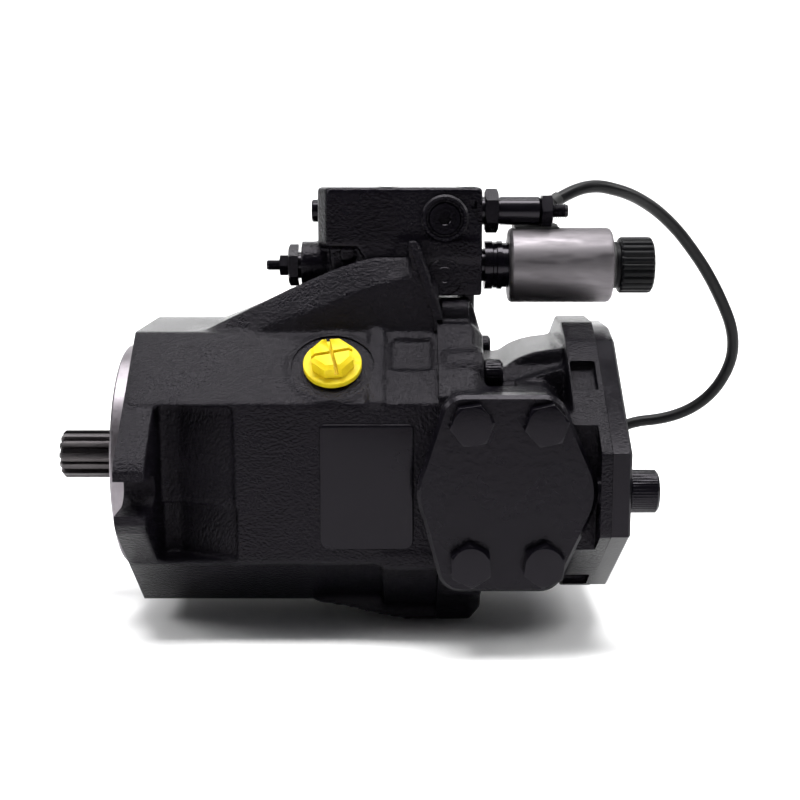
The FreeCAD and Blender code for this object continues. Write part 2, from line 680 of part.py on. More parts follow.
def slipper(index):
    sole = cylinder(d.sole_radius, d.sole_thick, (-d.sole_depth, 0, 0))
    cup = cylinder(d.slipper_radius, d.sole_depth + d.slipper_rim, (-d.sole_depth, 0, 0))
    pocket = cylinder(6.0, 0.6 + EPS, (-d.sole_depth - EPS, 0, 0))
    feed = cylinder(0.9, 12.0, (-d.sole_depth - EPS, 0, 0))
    shape = cut(fuse(sole, cup), sphere(d.socket_radius), pocket, feed)
    label(place(shape, ball_centre(index), SWASH_TURN), f"slipper_{index + 1}")


def retaining_plate():
    start = -d.sole_depth + d.sole_thick + 0.05
    plate = cylinder(d.plate_radius, d.plate_thick, (start, 0, 0))
    holes = []
    for index in range(PISTONS):
        y, z = ring_place(MEAN_RADIUS, index, PISTONS)
        holes.append(cylinder(d.plate_hole, 8.0, (start - EPS, y, z)))
    label(place(cut(plate, sphere(d.guide_socket), *holes), (d.tilt_x, 0, 0), SWASH_TURN), "retaining_plate")


def retaining_ball():
    ball = common(sphere(d.guide_ball), cylinder(20.0, 18.0, (-9.0, 0, 0)))
    bore = cylinder(d.shaft_core + FIT, 40.0, (-20.0, 0, 0))
    label(place(cut(ball, bore), (d.tilt_x, 0, 0)), "retaining_ball")
    label(coil_spring(5, 33.4, 17.6, 1.4, (62.6, 0, 0), thick=2.2), "block_spring")


def valve_plate():
    plate = turned([(0, 16.0), (0, d.valve_plate_radius), (4.0, d.valve_plate_radius), (4.0, 16.0)],
                   (d.valve_plate_start, 0, 0))
    label(cut(plate, kidney(-1, d.valve_plate_start - EPS, 6.0), kidney(1, d.valve_plate_start - EPS, 6.0)),
          "valve_plate")


def swash_plate():
    """Tilting plate with its cradle ribs, and a lever at the top and bottom for the two pistons."""
    back = -d.sole_depth - d.swash_thick
    disc = cylinder(d.swash_radius, d.swash_thick - 0.03, (back, 0, 0))
    levers = box((back, -6.0, -57.0), (-d.sole_depth - 0.03, 6.0, 57.0))
    cradle = cylinder(d.cradle_radius, 82.0, (0, -41.0, 0), "Y")
    cradle = cut(cradle, box((-d.sole_depth - 0.03, -50.0, -50.0), (50.0, 50.0, 50.0)),
                 box((-60.0, -28.0, -50.0), (60.0, 28.0, 50.0)))
    cradle = common(cradle, cylinder(43.0, 100.0, (-50.0, 0, 0)))
    hole = cylinder(21.0, 60.0, (-40.0, 0, 0))
    plate = cut(fuse(disc, levers, cradle), hole)
    label(place(plate, (d.tilt_x, 0, 0), SWASH_TURN), "swash_plate")


def cradle_bearings():
    shells = []
    outer_radius = d.cradle_radius + d.shell_thick
    for low_y in (28.0, -41.0):
        ring = cut(cylinder(outer_radius, 13.0, (d.tilt_x, low_y, 0), "Y"),
                   cylinder(d.cradle_radius + FIT, 20.0, (d.tilt_x, low_y - EPS, 0), "Y"))
        window = box((15.0, low_y, -19.0), (30.0, low_y + 13.0, 19.0))
        shells.append(common(ring, window, cylinder(45.8, 60.0, (0, 0, 0))))
    label(group(*shells), "cradle_bearings")


def swash_pistons():
    """Control piston above and spring-loaded bias piston below, both bearing on the swash plate's levers."""
    control = turned([(0, 0), (0, 3.0), (3.0, 6.0), (6.0, d.control_radius), (52.0, d.control_radius),
                      (52.0, 4.0), (24.0, 4.0), (22.0, 0)], (60.4, 0, d.control_height))
    label(control, "control_piston")
    bias = turned([(0, 0), (0, 1.5), (2.0, d.bias_radius), (72.0, d.bias_radius), (72.0, 5.8), (76.0, 5.8),
                   (76.0, 3.0), (98.0, 3.0), (98.0, 0)], (30.4, 0, -d.bias_height))
    label(bias, "bias_piston")
    label(coil_spring(6, 22.0, 4.6, 0.8, (107.6, 0, -d.bias_height)), "bias_spring")


# ---------------------------------------------------------------- control valve

VALVE_SCREW_SPOTS = [(110.0, 15.0), (110.0, -15.0), (146.0, 15.0), (146.0, -15.0)]
PORT_BOSS_X = 135.4
UPPER_PORT_Z = 109.8
LOWER_PORT_Z = 84.2


def valve_body():
    half = d.valve_half
    head = box((d.valve_start + 3.0, -half, 98.0), (d.valve_end - 2.0, half, d.valve_top))
    head = rounded(head, 3.0, lambda edge: is_parallel(edge, "X") or is_parallel(edge, "Z"))
    end_boss = cylinder(8.6, 75.0, (d.valve_start, 0, d.upper_axis))
    barrel = cylinder(11.0, 83.0, (71.0, 0, d.lower_axis))
    web = box((84.0, -14.0, 80.0), (150.0, 14.0, 100.0))
    foot = box((102.0, -20.0, d.valve_bottom), (d.valve_end - 2.0, 20.0, 99.0))
    bosses = [cylinder(10.4, 10.0, (PORT_BOSS_X, -half - 1.5, UPPER_PORT_Z), "Y"),
              cylinder(8.0, 10.0, (PORT_BOSS_X, -half - 0.6, LOWER_PORT_Z), "Y")]
    upper_bore = cylinder(d.upper_spool_radius + d.spool_gap, 90.0, (d.valve_start - 10.0, 0, d.upper_axis))
    spring_room = cylinder(6.6, 30.0, (128.0, 0, d.upper_axis))
    end_plug_room = cylinder(4.6, 8.0, (d.valve_start - EPS, 0, d.upper_axis))
    lower_bore = cylinder(d.lower_spool_radius + d.spool_gap, 100.0, (60.0, 0, d.lower_axis))
    tube_room = cylinder(7.5, 12.0, (144.0, 0, d.lower_axis))
    plug_room = cylinder(6.0, 12.0, (70.0, 0, d.lower_axis))
    plugs = [cylinder(6.0, 10.0, (PORT_BOSS_X, -half - 4.0, UPPER_PORT_Z), "Y"),
             cylinder(5.0, 10.0, (PORT_BOSS_X, -half - 4.0, LOWER_PORT_Z), "Y")]
    screws = [cylinder(3.3, 60.0, (x, y, d.valve_bottom - EPS), "Z") for x, y in VALVE_SCREW_SPOTS]
    seats = [cylinder(5.6, 12.0, (x, y, 114.0), "Z") for x, y in VALVE_SCREW_SPOTS]
    body = cut(fuse(head, end_boss, barrel, web, foot, *bosses), upper_bore, spring_room, end_plug_room,
               lower_bore, tube_room, plug_room, *plugs, *screws, *seats)
    label(body, "valve_body")
    fixings = [socket_screw(3.0, 5.0, 6.0, 50.0, (x, y, 114.0), "Z") for x, y in VALVE_SCREW_SPOTS]
    label(group(*fixings), "valve_body_screws")


def socket_plugs():
    """Hexagon socket plugs: two valve ports, the valve's upper bore, and the second drain port."""
    half = d.valve_half
    upper = socket_plug(6.0, 7.2, 2.0, 6.0, (PORT_BOSS_X, -half - 1.5, UPPER_PORT_Z), "-Y")
    lower = socket_plug(5.0, 5.0, 0.4, 6.0, (PORT_BOSS_X, -half - 0.2, LOWER_PORT_Z), "-Y")
    end = socket_plug(4.6, 5.1, 3.0, 6.0, (d.valve_start, 0, d.upper_axis), "-X")
    far_drain = socket_plug(10.3, 14.0, 3.5, 9.0, offset_point(FAR_DRAIN_SPOT, FAR_DRAIN_NORMAL, 1.0),
                            FAR_DRAIN_NORMAL)
    label(group(upper, lower, end, far_drain), "socket_plugs")


def spool(radius, lands, neck, at):
    """A spool: lands are (start, end) along its axis, joined by a thinner neck."""
    points = [(lands[0][0], 0)]
    for number, (start, end) in enumerate(lands):
        points += [(start, neck if number else radius)] if number else []
        points += [(start, radius), (end, radius)]
        if number < len(lands) - 1:
            points.append((end, neck))
    points.append((lands[-1][1], 0))
    return turned(points, at)


def upper_adjuster():
    """Pressure adjuster: fixed sleeve, lock nut and threaded screw that loads the spool's spring."""
    z = d.upper_axis
    label(spool(d.upper_spool_radius, [(0, 8), (14, 24), (30, 44)], 2.4, (88.0, 0, z)), "pressure_spool")
    label(coil_spring(5, 14.8, 4.6, 0.8, (133.4, 0, z)), "pressure_spring")
    base = hexagon(17.2, 6.2, (d.valve_end, 0, z))
    sleeve = cylinder(6.4, 25.3, (d.valve_end, 0, z))
    bore = cylinder(3.35, 60.0, (d.valve_end - 10.0, 0, z))
    pilot = cylinder(6.5, 2.0, (d.valve_end - 2.0, 0, z))
    label(cut(fuse(base, sleeve, pilot), bore), "pressure_adjuster_sleeve")
    screw = turned([(-5.1, 0), (-5.1, 5.4), (-3.1, 5.4), (-3.1, 3.3), (36.2, 3.3), (37.2, 2.5), (37.2, 0)],
                   (154.6, 0, z))
    screw = cut(screw, hexagon(3.6, 4.0, (188.4, 0, z)))
    nut = cut(hexagon(13.8, 5.2, (179.4, 0, z)), cylinder(3.33, 20.0, (170.0, 0, z)))
    label(screw, "pressure_adjusting_screw")
    return nut


def lower_adjuster():
    """Pilot adjuster at the front end of the lower bore."""
    z = d.lower_axis
    plug = fuse(hexagon(16.4, 4.6, (65.2, 0, z)), cylinder(6.0, 11.0, (69.6, 0, z)))
    label(cut(plug, cylinder(2.55, 40.0, (50.0, 0, z))), "pilot_adjuster_plug")
    screw = turned([(0, 0), (0, 1.9), (0.6, 2.5), (23.0, 2.5), (23.0, 0)], (55.1, 0, z))
    screw = cut(screw, hexagon(2.8, 3.5, (54.1, 0, z)))
    nut = cut(hexagon(9.0, 4.0, (61.1, 0, z)), cylinder(2.53, 20.0, (50.0, 0, z)))
    label(screw, "pilot_adjusting_screw")
    return nut


def solenoid():
    z = d.lower_axis
    core = 5.4
    plunger_spool = spool(d.lower_spool_radius, [(0, 9), (16, 28), (35, 50)], 3.0, (84.0, 0, z))
    tube = turned([(-10.0, 0), (-10.0, 7.4), (0, 7.4), (0, 11.0), (8.0, 11.0), (8.0, 10.2), (11.0, 10.2),
                   (11.0, d.stem_radius), (72.0, d.stem_radius), (73.0, 6.2), (73.0, 0)], (d.valve_end, 0, z))
    room = cylinder(core, 46.0, (164.0, 0, z))
    bore = cylinder(2.2, 40.0, (140.0, 0, z))
    label(cut(tube, room, bore), "solenoid_tube")
    armature = turned([(0, 0), (0, 2.0), (33.0, 2.0), (33.0, core - 0.05), (61.0, core - 0.05), (61.0, 0)],
                      (134.3, 0, z))
    label(group(plunger_spool, armature), "solenoid_plunger")
    coil = turned([(0, d.stem_radius + FIT), (0, d.coil_radius - 2.0), (2.0, d.coil_radius),
                   (44.8, d.coil_radius), (46.8, d.coil_radius - 2.0), (46.8, d.stem_radius + FIT)],
                  (d.tube_end, 0, z))
    outlet = box((168.0, -4.0, 98.0), (188.0, 18.0, 107.0))
    exit_point = FreeCAD.Vector(*CABLE_ROUTE[0])
    exit_line = (FreeCAD.Vector(*CABLE_ROUTE[1]) - exit_point).normalize()
    gland = cylinder(4.6, 10.0, tuple(exit_point - exit_line * 10.0), tuple(exit_line))
    outlet = cut(fuse(outlet, gland), cylinder(8.0, 40.0, (160.0, 0, d.upper_axis)))
    label(fuse(coil, outlet), "solenoid_coil")
    knob = turned([(0, d.stem_radius + 0.05), (0, 10.6), (1.6, 10.6), (1.6, d.knob_radius),
                   (15.5, d.knob_radius), (17.0, d.knob_radius - 1.5), (17.0, 0), (14.6, 0),
                   (14.6, d.stem_radius + 0.05)], (d.knob_start, 0, z))
    label(knob, "coil_nut")


# ---------------------------------------------------------------- cable

CABLE_ROUTE = [(183.0, 13.0, 113.0), (191.0, 17.0, 119.0), (206.0, 24.0, 124.0), (221.0, 32.0, 121.0),
               (231.5, 41.0, 117.0), (243.5, 50.0, 110.0), (257.0, 58.0, 98.0), (275.5, 68.0, 74.5),
               (292.0, 78.0, 42.0), (284.5, 87.0, 15.0), (265.0, 95.0, -1.0), (234.0, 101.0, -5.0),
               (213.0, 106.0, -30.0), (198.0, 109.0, -55.0), (180.0, 109.0, -66.5), (155.0, 106.0, -66.9),
               (128.0, 101.0, -66.9), (104.0, 101.0, -66.9)]


def cable_path(points):
    """Straight runs joined by tangent arcs, each as large as its two runs allow."""
    spots = [FreeCAD.Vector(*point) for point in points]
    edges = []
    radii = []
    last = spots[0]
    for before, corner, after in zip(spots, spots[1:], spots[2:]):
        inward = corner - before
        outward = after - corner
        turn = inward.getAngle(outward)
        reach = 0.45 * min(inward.Length, outward.Length)
        radii.append(reach / math.tan(turn / 2))
        start = corner - inward.normalize() * reach
        end = corner + outward.normalize() * reach
        bisector = (outward - inward).normalize()
        rise = radii[-1] * (1 / math.cos(turn / 2) - 1)
        edges.append(Part.LineSegment(last, start).toShape())
        edges.append(Part.Arc(start, corner + bisector * rise, end).toShape())
        last = end
    edges.append(Part.LineSegment(last, spots[-1]).toShape())
    return Part.Wire(edges), radii


def cable():
    path, radii = cable_path(CABLE_ROUTE)
    radius = d.cable_diameter.value / 2
    start = path.Edges[0].valueAt(path.Edges[0].FirstParameter)
    tangent = path.Edges[0].tangentAt(path.Edges[0].FirstParameter)
    section = Part.Wire([Part.Circle(start, tangent, radius).toShape()])
    item = doc.addObject("Part::Feature", "cable")
    item.Shape = path.makePipeShell([section], True, False)
    place(item)
    expected = math.pi * radius ** 2 * path.Length
    print("cable length", round(path.Length, 1), "volume ratio", round(item.Shape.Volume / expected, 4))
    print("cable bend radii", [round(value, 1) for value in radii])
    label(item, "coil_cable")
    end = FreeCAD.Vector(*CABLE_ROUTE[-1])
    direction = (end - FreeCAD.Vector(*CABLE_ROUTE[-2])).normalize()
    rotation = FreeCAD.Rotation(FreeCAD.Vector(1, 0, 0), direction)
    plug = fuse(cone(4.0, 4.6, 10.0), box((10.0, -9.5, -3.1), (34.0, 9.5, 12.0)))
    plug = cut(plug, box((26.0, -8.0, -1.6), (40.0, 8.0, 10.5)))
    pins = [box((22.0, y - 1.0, 3.5), (33.0, y + 1.0, 5.5)) for y in (-3.6, 3.6)]
    label(place(fuse(plug, *pins), tuple(end), rotation), "cable_connector")


# ---------------------------------------------------------------- build, check, write

def build_all():
    pump_housing()
    port_plate()
    housing_screws()
    suction_cover()
    through_drive_cover()
    static_seal_rings()
    drain_port_cap()
    drive_shaft()
    bearings()
    shaft_seal()
    cylinder_block()
    for index in range(PISTONS):
        piston(index)
        slipper(index)
    retaining_plate()
    retaining_ball()
    valve_plate()
    swash_plate()
    cradle_bearings()
    swash_pistons()
    valve_body()
    socket_plugs()
    lock_nuts = [upper_adjuster(), lower_adjuster()]
    label(group(*lock_nuts), "adjuster_lock_nuts")
    solenoid()
    cable()


def check_all():
    doc.recompute()
    for item in doc.Objects:
        if "Invalid" in item.State or "Error" in item.State:
            raise RuntimeError(f"{item.Name} {item.Label} did not build: {item.State}")
    for item in finished:
        if item.Shape.isNull() or not item.Shape.isValid():
            raise RuntimeError(f"{item.Label} has no valid shape")


def write_all():
    os.makedirs("parts", exist_ok=True)
    for item in finished:
        item.Shape.exportStep(f"parts/{item.Label}.step")


build_all()
check_all()
write_all()
print("nodes", len(finished))
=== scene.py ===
import json
import math

import bmesh
import bpy
from mathutils import Matrix, Vector


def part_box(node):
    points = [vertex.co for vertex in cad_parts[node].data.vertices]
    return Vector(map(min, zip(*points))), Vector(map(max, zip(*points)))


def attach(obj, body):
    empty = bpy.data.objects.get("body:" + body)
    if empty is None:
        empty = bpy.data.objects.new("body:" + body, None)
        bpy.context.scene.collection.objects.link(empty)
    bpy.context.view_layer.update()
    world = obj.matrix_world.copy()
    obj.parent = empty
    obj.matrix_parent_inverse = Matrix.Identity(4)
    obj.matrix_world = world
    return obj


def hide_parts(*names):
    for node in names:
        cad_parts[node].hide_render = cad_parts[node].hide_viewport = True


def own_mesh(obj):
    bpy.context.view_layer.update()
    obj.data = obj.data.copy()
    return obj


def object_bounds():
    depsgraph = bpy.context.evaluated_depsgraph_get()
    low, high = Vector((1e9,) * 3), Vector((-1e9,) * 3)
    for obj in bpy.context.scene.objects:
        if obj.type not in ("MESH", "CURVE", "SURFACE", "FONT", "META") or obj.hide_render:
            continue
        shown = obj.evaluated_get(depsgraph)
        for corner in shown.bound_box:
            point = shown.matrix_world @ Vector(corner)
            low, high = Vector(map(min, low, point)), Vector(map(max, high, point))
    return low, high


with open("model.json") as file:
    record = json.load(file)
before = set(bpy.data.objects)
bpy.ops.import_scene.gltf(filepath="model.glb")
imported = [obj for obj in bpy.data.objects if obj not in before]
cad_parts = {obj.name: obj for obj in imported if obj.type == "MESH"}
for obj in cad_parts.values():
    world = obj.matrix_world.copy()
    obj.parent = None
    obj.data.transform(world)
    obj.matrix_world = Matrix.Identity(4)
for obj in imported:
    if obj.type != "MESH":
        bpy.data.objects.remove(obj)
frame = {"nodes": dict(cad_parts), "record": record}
CAD_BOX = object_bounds()

# Axial piston pump. Lengths in this file are millimetres in the row frame until a mesh is finished:
# +X runs along the shaft to the rear, +Z is up, -Y is the side with the suction port.
MM = 0.001
CASE = "pump_case"


# ---------------------------------------------------------------- sizes read from the frame

def node_box(node):
    low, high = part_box(node)
    return [value / MM for value in low], [value / MM for value in high]


def mount(name):
    return next(item for item in frame["record"]["mounts"] if item["name"] == name)


PILOT_RADIUS = mount("pilot")["dims"]["r_mm"]
BOLT_OFFSET = mount("flange_slots")["dims"]["spacing_x_mm"] / 2
SLOT_HALF = mount("flange_slots")["dims"]["hole_r_mm"]
PRESSURE_BORE = mount("pressure_port")["dims"]["r_mm"]
PRESSURE_FACE = mount("pressure_port")["pos_m"][1] / MM
PRESSURE_PITCH = (mount("pressure_port_bolts")["dims"]["spacing_x_mm"] / 2,
                  mount("pressure_port_bolts")["dims"]["spacing_y_mm"] / 2)

COVER_LOW, COVER_HIGH = node_box("through_drive_cover")
SUCTION_LOW, SUCTION_HIGH = node_box("suction_cover")
VALVE_LOW, VALVE_HIGH = node_box("valve_body")
KNOB_LOW, KNOB_HIGH = node_box("coil_nut")
SHAFT_LOW = node_box("drive_shaft")[0]
SLEEVE_LOW, SLEEVE_HIGH = node_box("pressure_adjuster_sleeve")

JOINT_X = 132.0                      # joint between housing and port plate
PORT_END = COVER_LOW[0]
COVER_END = COVER_HIGH[0]
SUCTION_FACE = SUCTION_HIGH[1]       # -70: sealing face of the suction port
UPPER_Z = (SLEEVE_LOW[2] + SLEEVE_HIGH[2]) / 2
LOWER_Z = (KNOB_LOW[2] + KNOB_HIGH[2]) / 2
PORT_X = mount("pressure_port")["pos_m"][0] / MM


# ---------------------------------------------------------------- materials

def new_material(name):
    material = bpy.data.materials.new(name)
    material.use_nodes = True
    nodes = material.node_tree.nodes
    return material, nodes, material.node_tree.links, nodes["Principled BSDF"]


def noise(nodes, links, coords, scale, detail=3.0, rough=0.55):
    item = nodes.new("ShaderNodeTexNoise")
    item.inputs["Scale"].default_value = scale
    item.inputs["Detail"].default_value = detail
    item.inputs["Roughness"].default_value = rough
    links.new(coords, item.inputs["Vector"])
    return item.outputs["Fac"]


def ramp(nodes, links, value, low, high, start=0.3, end=0.7):
    item = nodes.new("ShaderNodeMapRange")
    item.inputs["From Min"].default_value = start
    item.inputs["From Max"].default_value = end
    item.inputs["To Min"].default_value = low
    item.inputs["To Max"].default_value = high
    links.new(value, item.inputs["Value"])
    return item.outputs["Result"]


def tint(nodes, links, value, dark, light, start=0.3, end=0.7):
    item = nodes.new("ShaderNodeValToRGB")
    item.color_ramp.elements[0].position = start
    item.color_ramp.elements[1].position = end
    item.color_ramp.elements[0].color = (*dark, 1)
    item.color_ramp.elements[1].color = (*light, 1)
    links.new(value, item.inputs["Fac"])
    return item.outputs["Color"]


def bump(nodes, links, height, strength, distance, below=None):
    item = nodes.new("ShaderNodeBump")
    item.inputs["Strength"].default_value = strength
    item.inputs["Distance"].default_value = distance
    links.new(height, item.inputs["Height"])
    if below is not None:
        links.new(below, item.inputs["Normal"])
    return item.outputs["Normal"]


def object_coords(nodes):
    return nodes.new("ShaderNodeTexCoord").outputs["Object"]


def enamel(name, grain, pebble, gloss=(0.10, 0.22), scale=820.0, shine=0.105):
    """Black enamel over iron: grain is the cast skin's height, pebble the paint's orange peel, in mm."""
    material, nodes, links, shader = new_material(name)
    coords = object_coords(nodes)
    coarse = noise(nodes, links, coords, scale, 3.0, 0.6)
    fine = noise(nodes, links, coords, scale * 2.4, 2.0, 0.5)
    normal = bump(nodes, links, coarse, 1.0, grain * MM)
    normal = bump(nodes, links, fine, 1.0, pebble * MM, normal)
    links.new(normal, shader.inputs["Normal"])
    wide = noise(nodes, links, coords, 45.0, 3.0)
    links.new(ramp(nodes, links, wide, *gloss), shader.inputs["Roughness"])
    links.new(tint(nodes, links, wide, (0.0014, 0.0012, 0.0020), (0.0032, 0.0028, 0.0042)),
              shader.inputs["Base Color"])
    shader.inputs["Specular IOR Level"].default_value = shine
    shader.inputs["Specular Tint"].default_value = (0.96, 0.90, 1.0, 1)
    return material


def metal(name, dark, light, rough, scale=90.0, grain=0.02, stretch=(1, 1, 1)):
    """Bare metal with a machined or drawn grain; stretch sets the grain's direction."""
    material, nodes, links, shader = new_material(name)
    mapping = nodes.new("ShaderNodeMapping")
    mapping.inputs["Scale"].default_value = stretch
    links.new(object_coords(nodes), mapping.inputs["Vector"])
    coords = mapping.outputs["Vector"]
    cloud = noise(nodes, links, coords, scale, 4.0)
    lines = noise(nodes, links, coords, scale * 9.0, 2.0)
    links.new(tint(nodes, links, cloud, dark, light), shader.inputs["Base Color"])
    links.new(ramp(nodes, links, lines, rough * 0.8, rough * 1.25), shader.inputs["Roughness"])
    links.new(bump(nodes, links, lines, 0.6, grain * MM), shader.inputs["Normal"])
    shader.inputs["Metallic"].default_value = 1.0
    return material


def polymer(name, dark, light, rough, grain=0.03, specular=0.4, scale=140.0):
    material, nodes, links, shader = new_material(name)
    coords = object_coords(nodes)
    cloud = noise(nodes, links, coords, scale, 3.0)
    fine = noise(nodes, links, coords, scale * 11.0, 2.0)
    links.new(tint(nodes, links, cloud, dark, light), shader.inputs["Base Color"])
    links.new(ramp(nodes, links, cloud, rough * 0.85, rough * 1.15), shader.inputs["Roughness"])
    links.new(bump(nodes, links, fine, 0.5, grain * MM), shader.inputs["Normal"])
    shader.inputs["Specular IOR Level"].default_value = specular
    return material


CAST = enamel("enamel_on_casting", 0.72, 0.12, (0.10, 0.20))
SMOOTH = enamel("enamel_on_machined", 0.05, 0.02, (0.10, 0.20), shine=0.12)
COVER = enamel("enamel_on_plate", 0.20, 0.05, (0.16, 0.30), 320.0)
VALVE_PAINT = enamel("enamel_on_valve", 0.34, 0.06, (0.08, 0.18), 760.0)
OXIDE = enamel("black_oxide", 0.03, 0.015, (0.12, 0.24), shine=0.20)
BARE = metal("bare_machined_iron", (0.150, 0.137, 0.149), (0.215, 0.198, 0.213), 0.38)
SPLINE = metal("spline_steel", (0.030, 0.027, 0.029), (0.078, 0.072, 0.073), 0.34, stretch=(0.2, 1, 1))
COIL = metal("coil_steel", (0.110, 0.101, 0.108), (0.152, 0.141, 0.150), 0.50, 45.0, 0.012, (0.25, 1, 1))
STEEL = metal("hardened_steel", (0.34, 0.34, 0.35), (0.48, 0.48, 0.49), 0.24)
IRON = metal("machined_iron", (0.20, 0.20, 0.205), (0.32, 0.32, 0.325), 0.42)
BRONZE = metal("bronze", (0.42, 0.27, 0.12), (0.60, 0.42, 0.20), 0.30)
YELLOW = polymer("yellow_plastic", (0.58, 0.43, 0.009), (0.67, 0.51, 0.016), 0.45, 0.04, 0.12)
YELLOW.node_tree.nodes["Principled BSDF"].inputs["Subsurface Weight"].default_value = 0.05
KNOB = polymer("black_nylon", (0.0020, 0.0020, 0.0026), (0.0042, 0.0042, 0.0050), 0.42, 0.05, 0.08)
RUBBER = polymer("nitrile", (0.008, 0.008, 0.008), (0.014, 0.014, 0.014), 0.62)
SLEEVE = polymer("cable_sleeve", (0.003, 0.003, 0.0036), (0.006, 0.006, 0.0066), 0.36, 0.05, 0.12)
COPPER = metal("tinned_pin", (0.55, 0.50, 0.42), (0.70, 0.66, 0.58), 0.25)


# ---------------------------------------------------------------- mesh building in millimetres

def mesh_from(vertices, faces, name="part"):
    mesh = bpy.data.meshes.new(name)
    mesh.from_pydata([tuple(v) for v in vertices], [], faces)
    item = bpy.data.objects.new(name, mesh)
    bpy.context.scene.collection.objects.link(item)
    tidy_normals(item)
    return item


def tidy_normals(item):
    work = bmesh.new()
    work.from_mesh(item.data)
    bmesh.ops.remove_doubles(work, verts=work.verts, dist=1e-4)
    bmesh.ops.recalc_face_normals(work, faces=work.faces)
    work.to_mesh(item.data)
    work.free()


def spread(along, distance, first, second):
    """A point from its distance along an axis and its two coordinates across it.
    Across X they are (Y, Z), across Y they are (X, Z) and across Z they are (X, Y)."""
    return {"X": (distance, first, second),
            "Y": (first, distance, second),
            "Z": (first, second, distance)}[along]


def prism(outline, along, start, end):
    count = len(outline)
    vertices = [spread(along, start, *p) for p in outline] + [spread(along, end, *p) for p in outline]
    faces = [list(range(count)), list(range(2 * count - 1, count - 1, -1))]
    faces += [[k, (k + 1) % count, count + (k + 1) % count, count + k] for k in range(count)]
    return mesh_from(vertices, faces)


def block(low, high):
    outline = [(low[1], low[2]), (high[1], low[2]), (high[1], high[2]), (low[1], high[2])]
    return prism(outline, "X", low[0], high[0])


def lathe(profile, centre=(0, 0, 0), sides=64, ripple=None):
    """Turns (distance, radius) points about X; closed at both ends on the axis or as a ring.
    ripple(distance, angle, radius) is added to the radius, for flutes, teeth and threads."""
    rows = []
    vertices = []
    for distance, radius in profile:
        row = []
        for k in range(sides):
            angle = 2 * math.pi * k / sides
            size = radius + (ripple(distance, angle, radius) if ripple else 0.0)
            first, second = size * math.cos(angle), size * math.sin(angle)
            point = Vector((distance, first, second)) + Vector(centre)
            row.append(len(vertices))
            vertices.append(point)
            if radius < 1e-6:
                break
        rows.append(row)
    faces = []
    closed = profile[0][1] > 1e-6
    pairs = list(zip(rows, rows[1:])) + ([(rows[-1], rows[0])] if closed else [])
    for one, two in pairs:
        for k in range(sides):
            corner = [one[k % len(one)], one[(k + 1) % len(one)], two[(k + 1) % len(two)], two[k % len(two)]]
            unique = [c for i, c in enumerate(corner) if c not in corner[:i]]
            if len(unique) > 2:
                faces.append(unique)
    return mesh_from(vertices, faces)


def rod(radius, along, start, end, across, sides=48):
    """A plain cylinder: across holds the two coordinates of its axis."""
    ring = [(across[0] + radius * math.cos(2 * math.pi * k / sides),
             across[1] + radius * math.sin(2 * math.pi * k / sides)) for k in range(sides)]
    return prism(ring, along, start, end)


def hex_ring(across_flats, centre, turn=0.0):
    reach = across_flats / math.cos(math.radians(30)) / 2
    return [(centre[0] + reach * math.cos(math.radians(60 * k + turn)),
             centre[1] + reach * math.sin(math.radians(60 * k + turn))) for k in range(6)]


def arc(centre, radius, start, end, steps=8):
    """Points of a round stretch, angles in degrees."""
    return [(centre[0] + radius * math.cos(math.radians(start + (end - start) * k / steps)),
             centre[1] + radius * math.sin(math.radians(start + (end - start) * k / steps)))
            for k in range(steps + 1)]


def remove(*items):
    for item in items:
        mesh = item.data
        bpy.data.objects.remove(item)
        bpy.data.meshes.remove(mesh)


def bake(item):
    """Applies the object's modifiers to its mesh."""
    evaluated = item.evaluated_get(bpy.context.evaluated_depsgraph_get())
    mesh = bpy.data.meshes.new_from_object(evaluated)
    old = item.data
    item.modifiers.clear()
    item.data = mesh
    bpy.data.meshes.remove(old)
    return item


def joined(items):
    """One mesh of several closed shells, for a cutter or an adder made of many."""
    work = bmesh.new()
    for item in items:
        work.from_mesh(item.data)
    mesh = bpy.data.meshes.new("joined")
    work.to_mesh(mesh)
    work.free()
    remove(*items)
    result = bpy.data.objects.new("joined", mesh)
    bpy.context.scene.collection.objects.link(result)
    return result


def combine(base, tools, operation):
    for tool in tools:
        change = base.modifiers.new("combine", "BOOLEAN")
        change.object = tool
        change.operation = operation
        change.solver = "MANIFOLD"
        bake(base)
        remove(tool)
    return base


def add(base, *tools):
    return combine(base, tools, "UNION")


def carve(base, *tools):
    return combine(base, tools, "DIFFERENCE")


def cast(item, voxel=1.15, rounds=6):
    """Gives a shape the soft edges and fillets of a sand casting."""
    change = item.modifiers.new("voxels", "REMESH")
    change.mode = "VOXEL"
    change.voxel_size = voxel
    bake(item)
    change = item.modifiers.new("soften", "SMOOTH")
    change.factor = 0.5
    change.iterations = rounds
    return bake(item)


def bevel(item, width, segments=3, angle=30.0):
    change = item.modifiers.new("bevel", "BEVEL")
    change.width = width
    change.segments = segments
    change.limit_method = "ANGLE"
    change.angle_limit = math.radians(angle)
    change.harden_normals = False
    return bake(item)


def shade(item, angle=32.0):
    work = bmesh.new()
    work.from_mesh(item.data)
    for face in work.faces:
        face.smooth = True
    for edge in work.edges:
        if len(edge.link_faces) == 2 and edge.calc_face_angle(0.0) > math.radians(angle):
            edge.smooth = False
    work.to_mesh(item.data)
    work.free()


def piece(item, name, material, body=CASE, node=None, angle=32.0):
    """Finishes a mesh: metres, material, shading, and the body it rides on."""
    item.data.transform(Matrix.Scale(MM, 4))
    item.name = name
    item.data.name = name
    item.data.materials.clear()
    item.data.materials.append(material)
    shade(item, angle)
    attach(item, body)
    if node:
        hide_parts(*([node] if isinstance(node, str) else node))
    return item


def moved(item, matrix):
    item.data.transform(matrix)
    return item


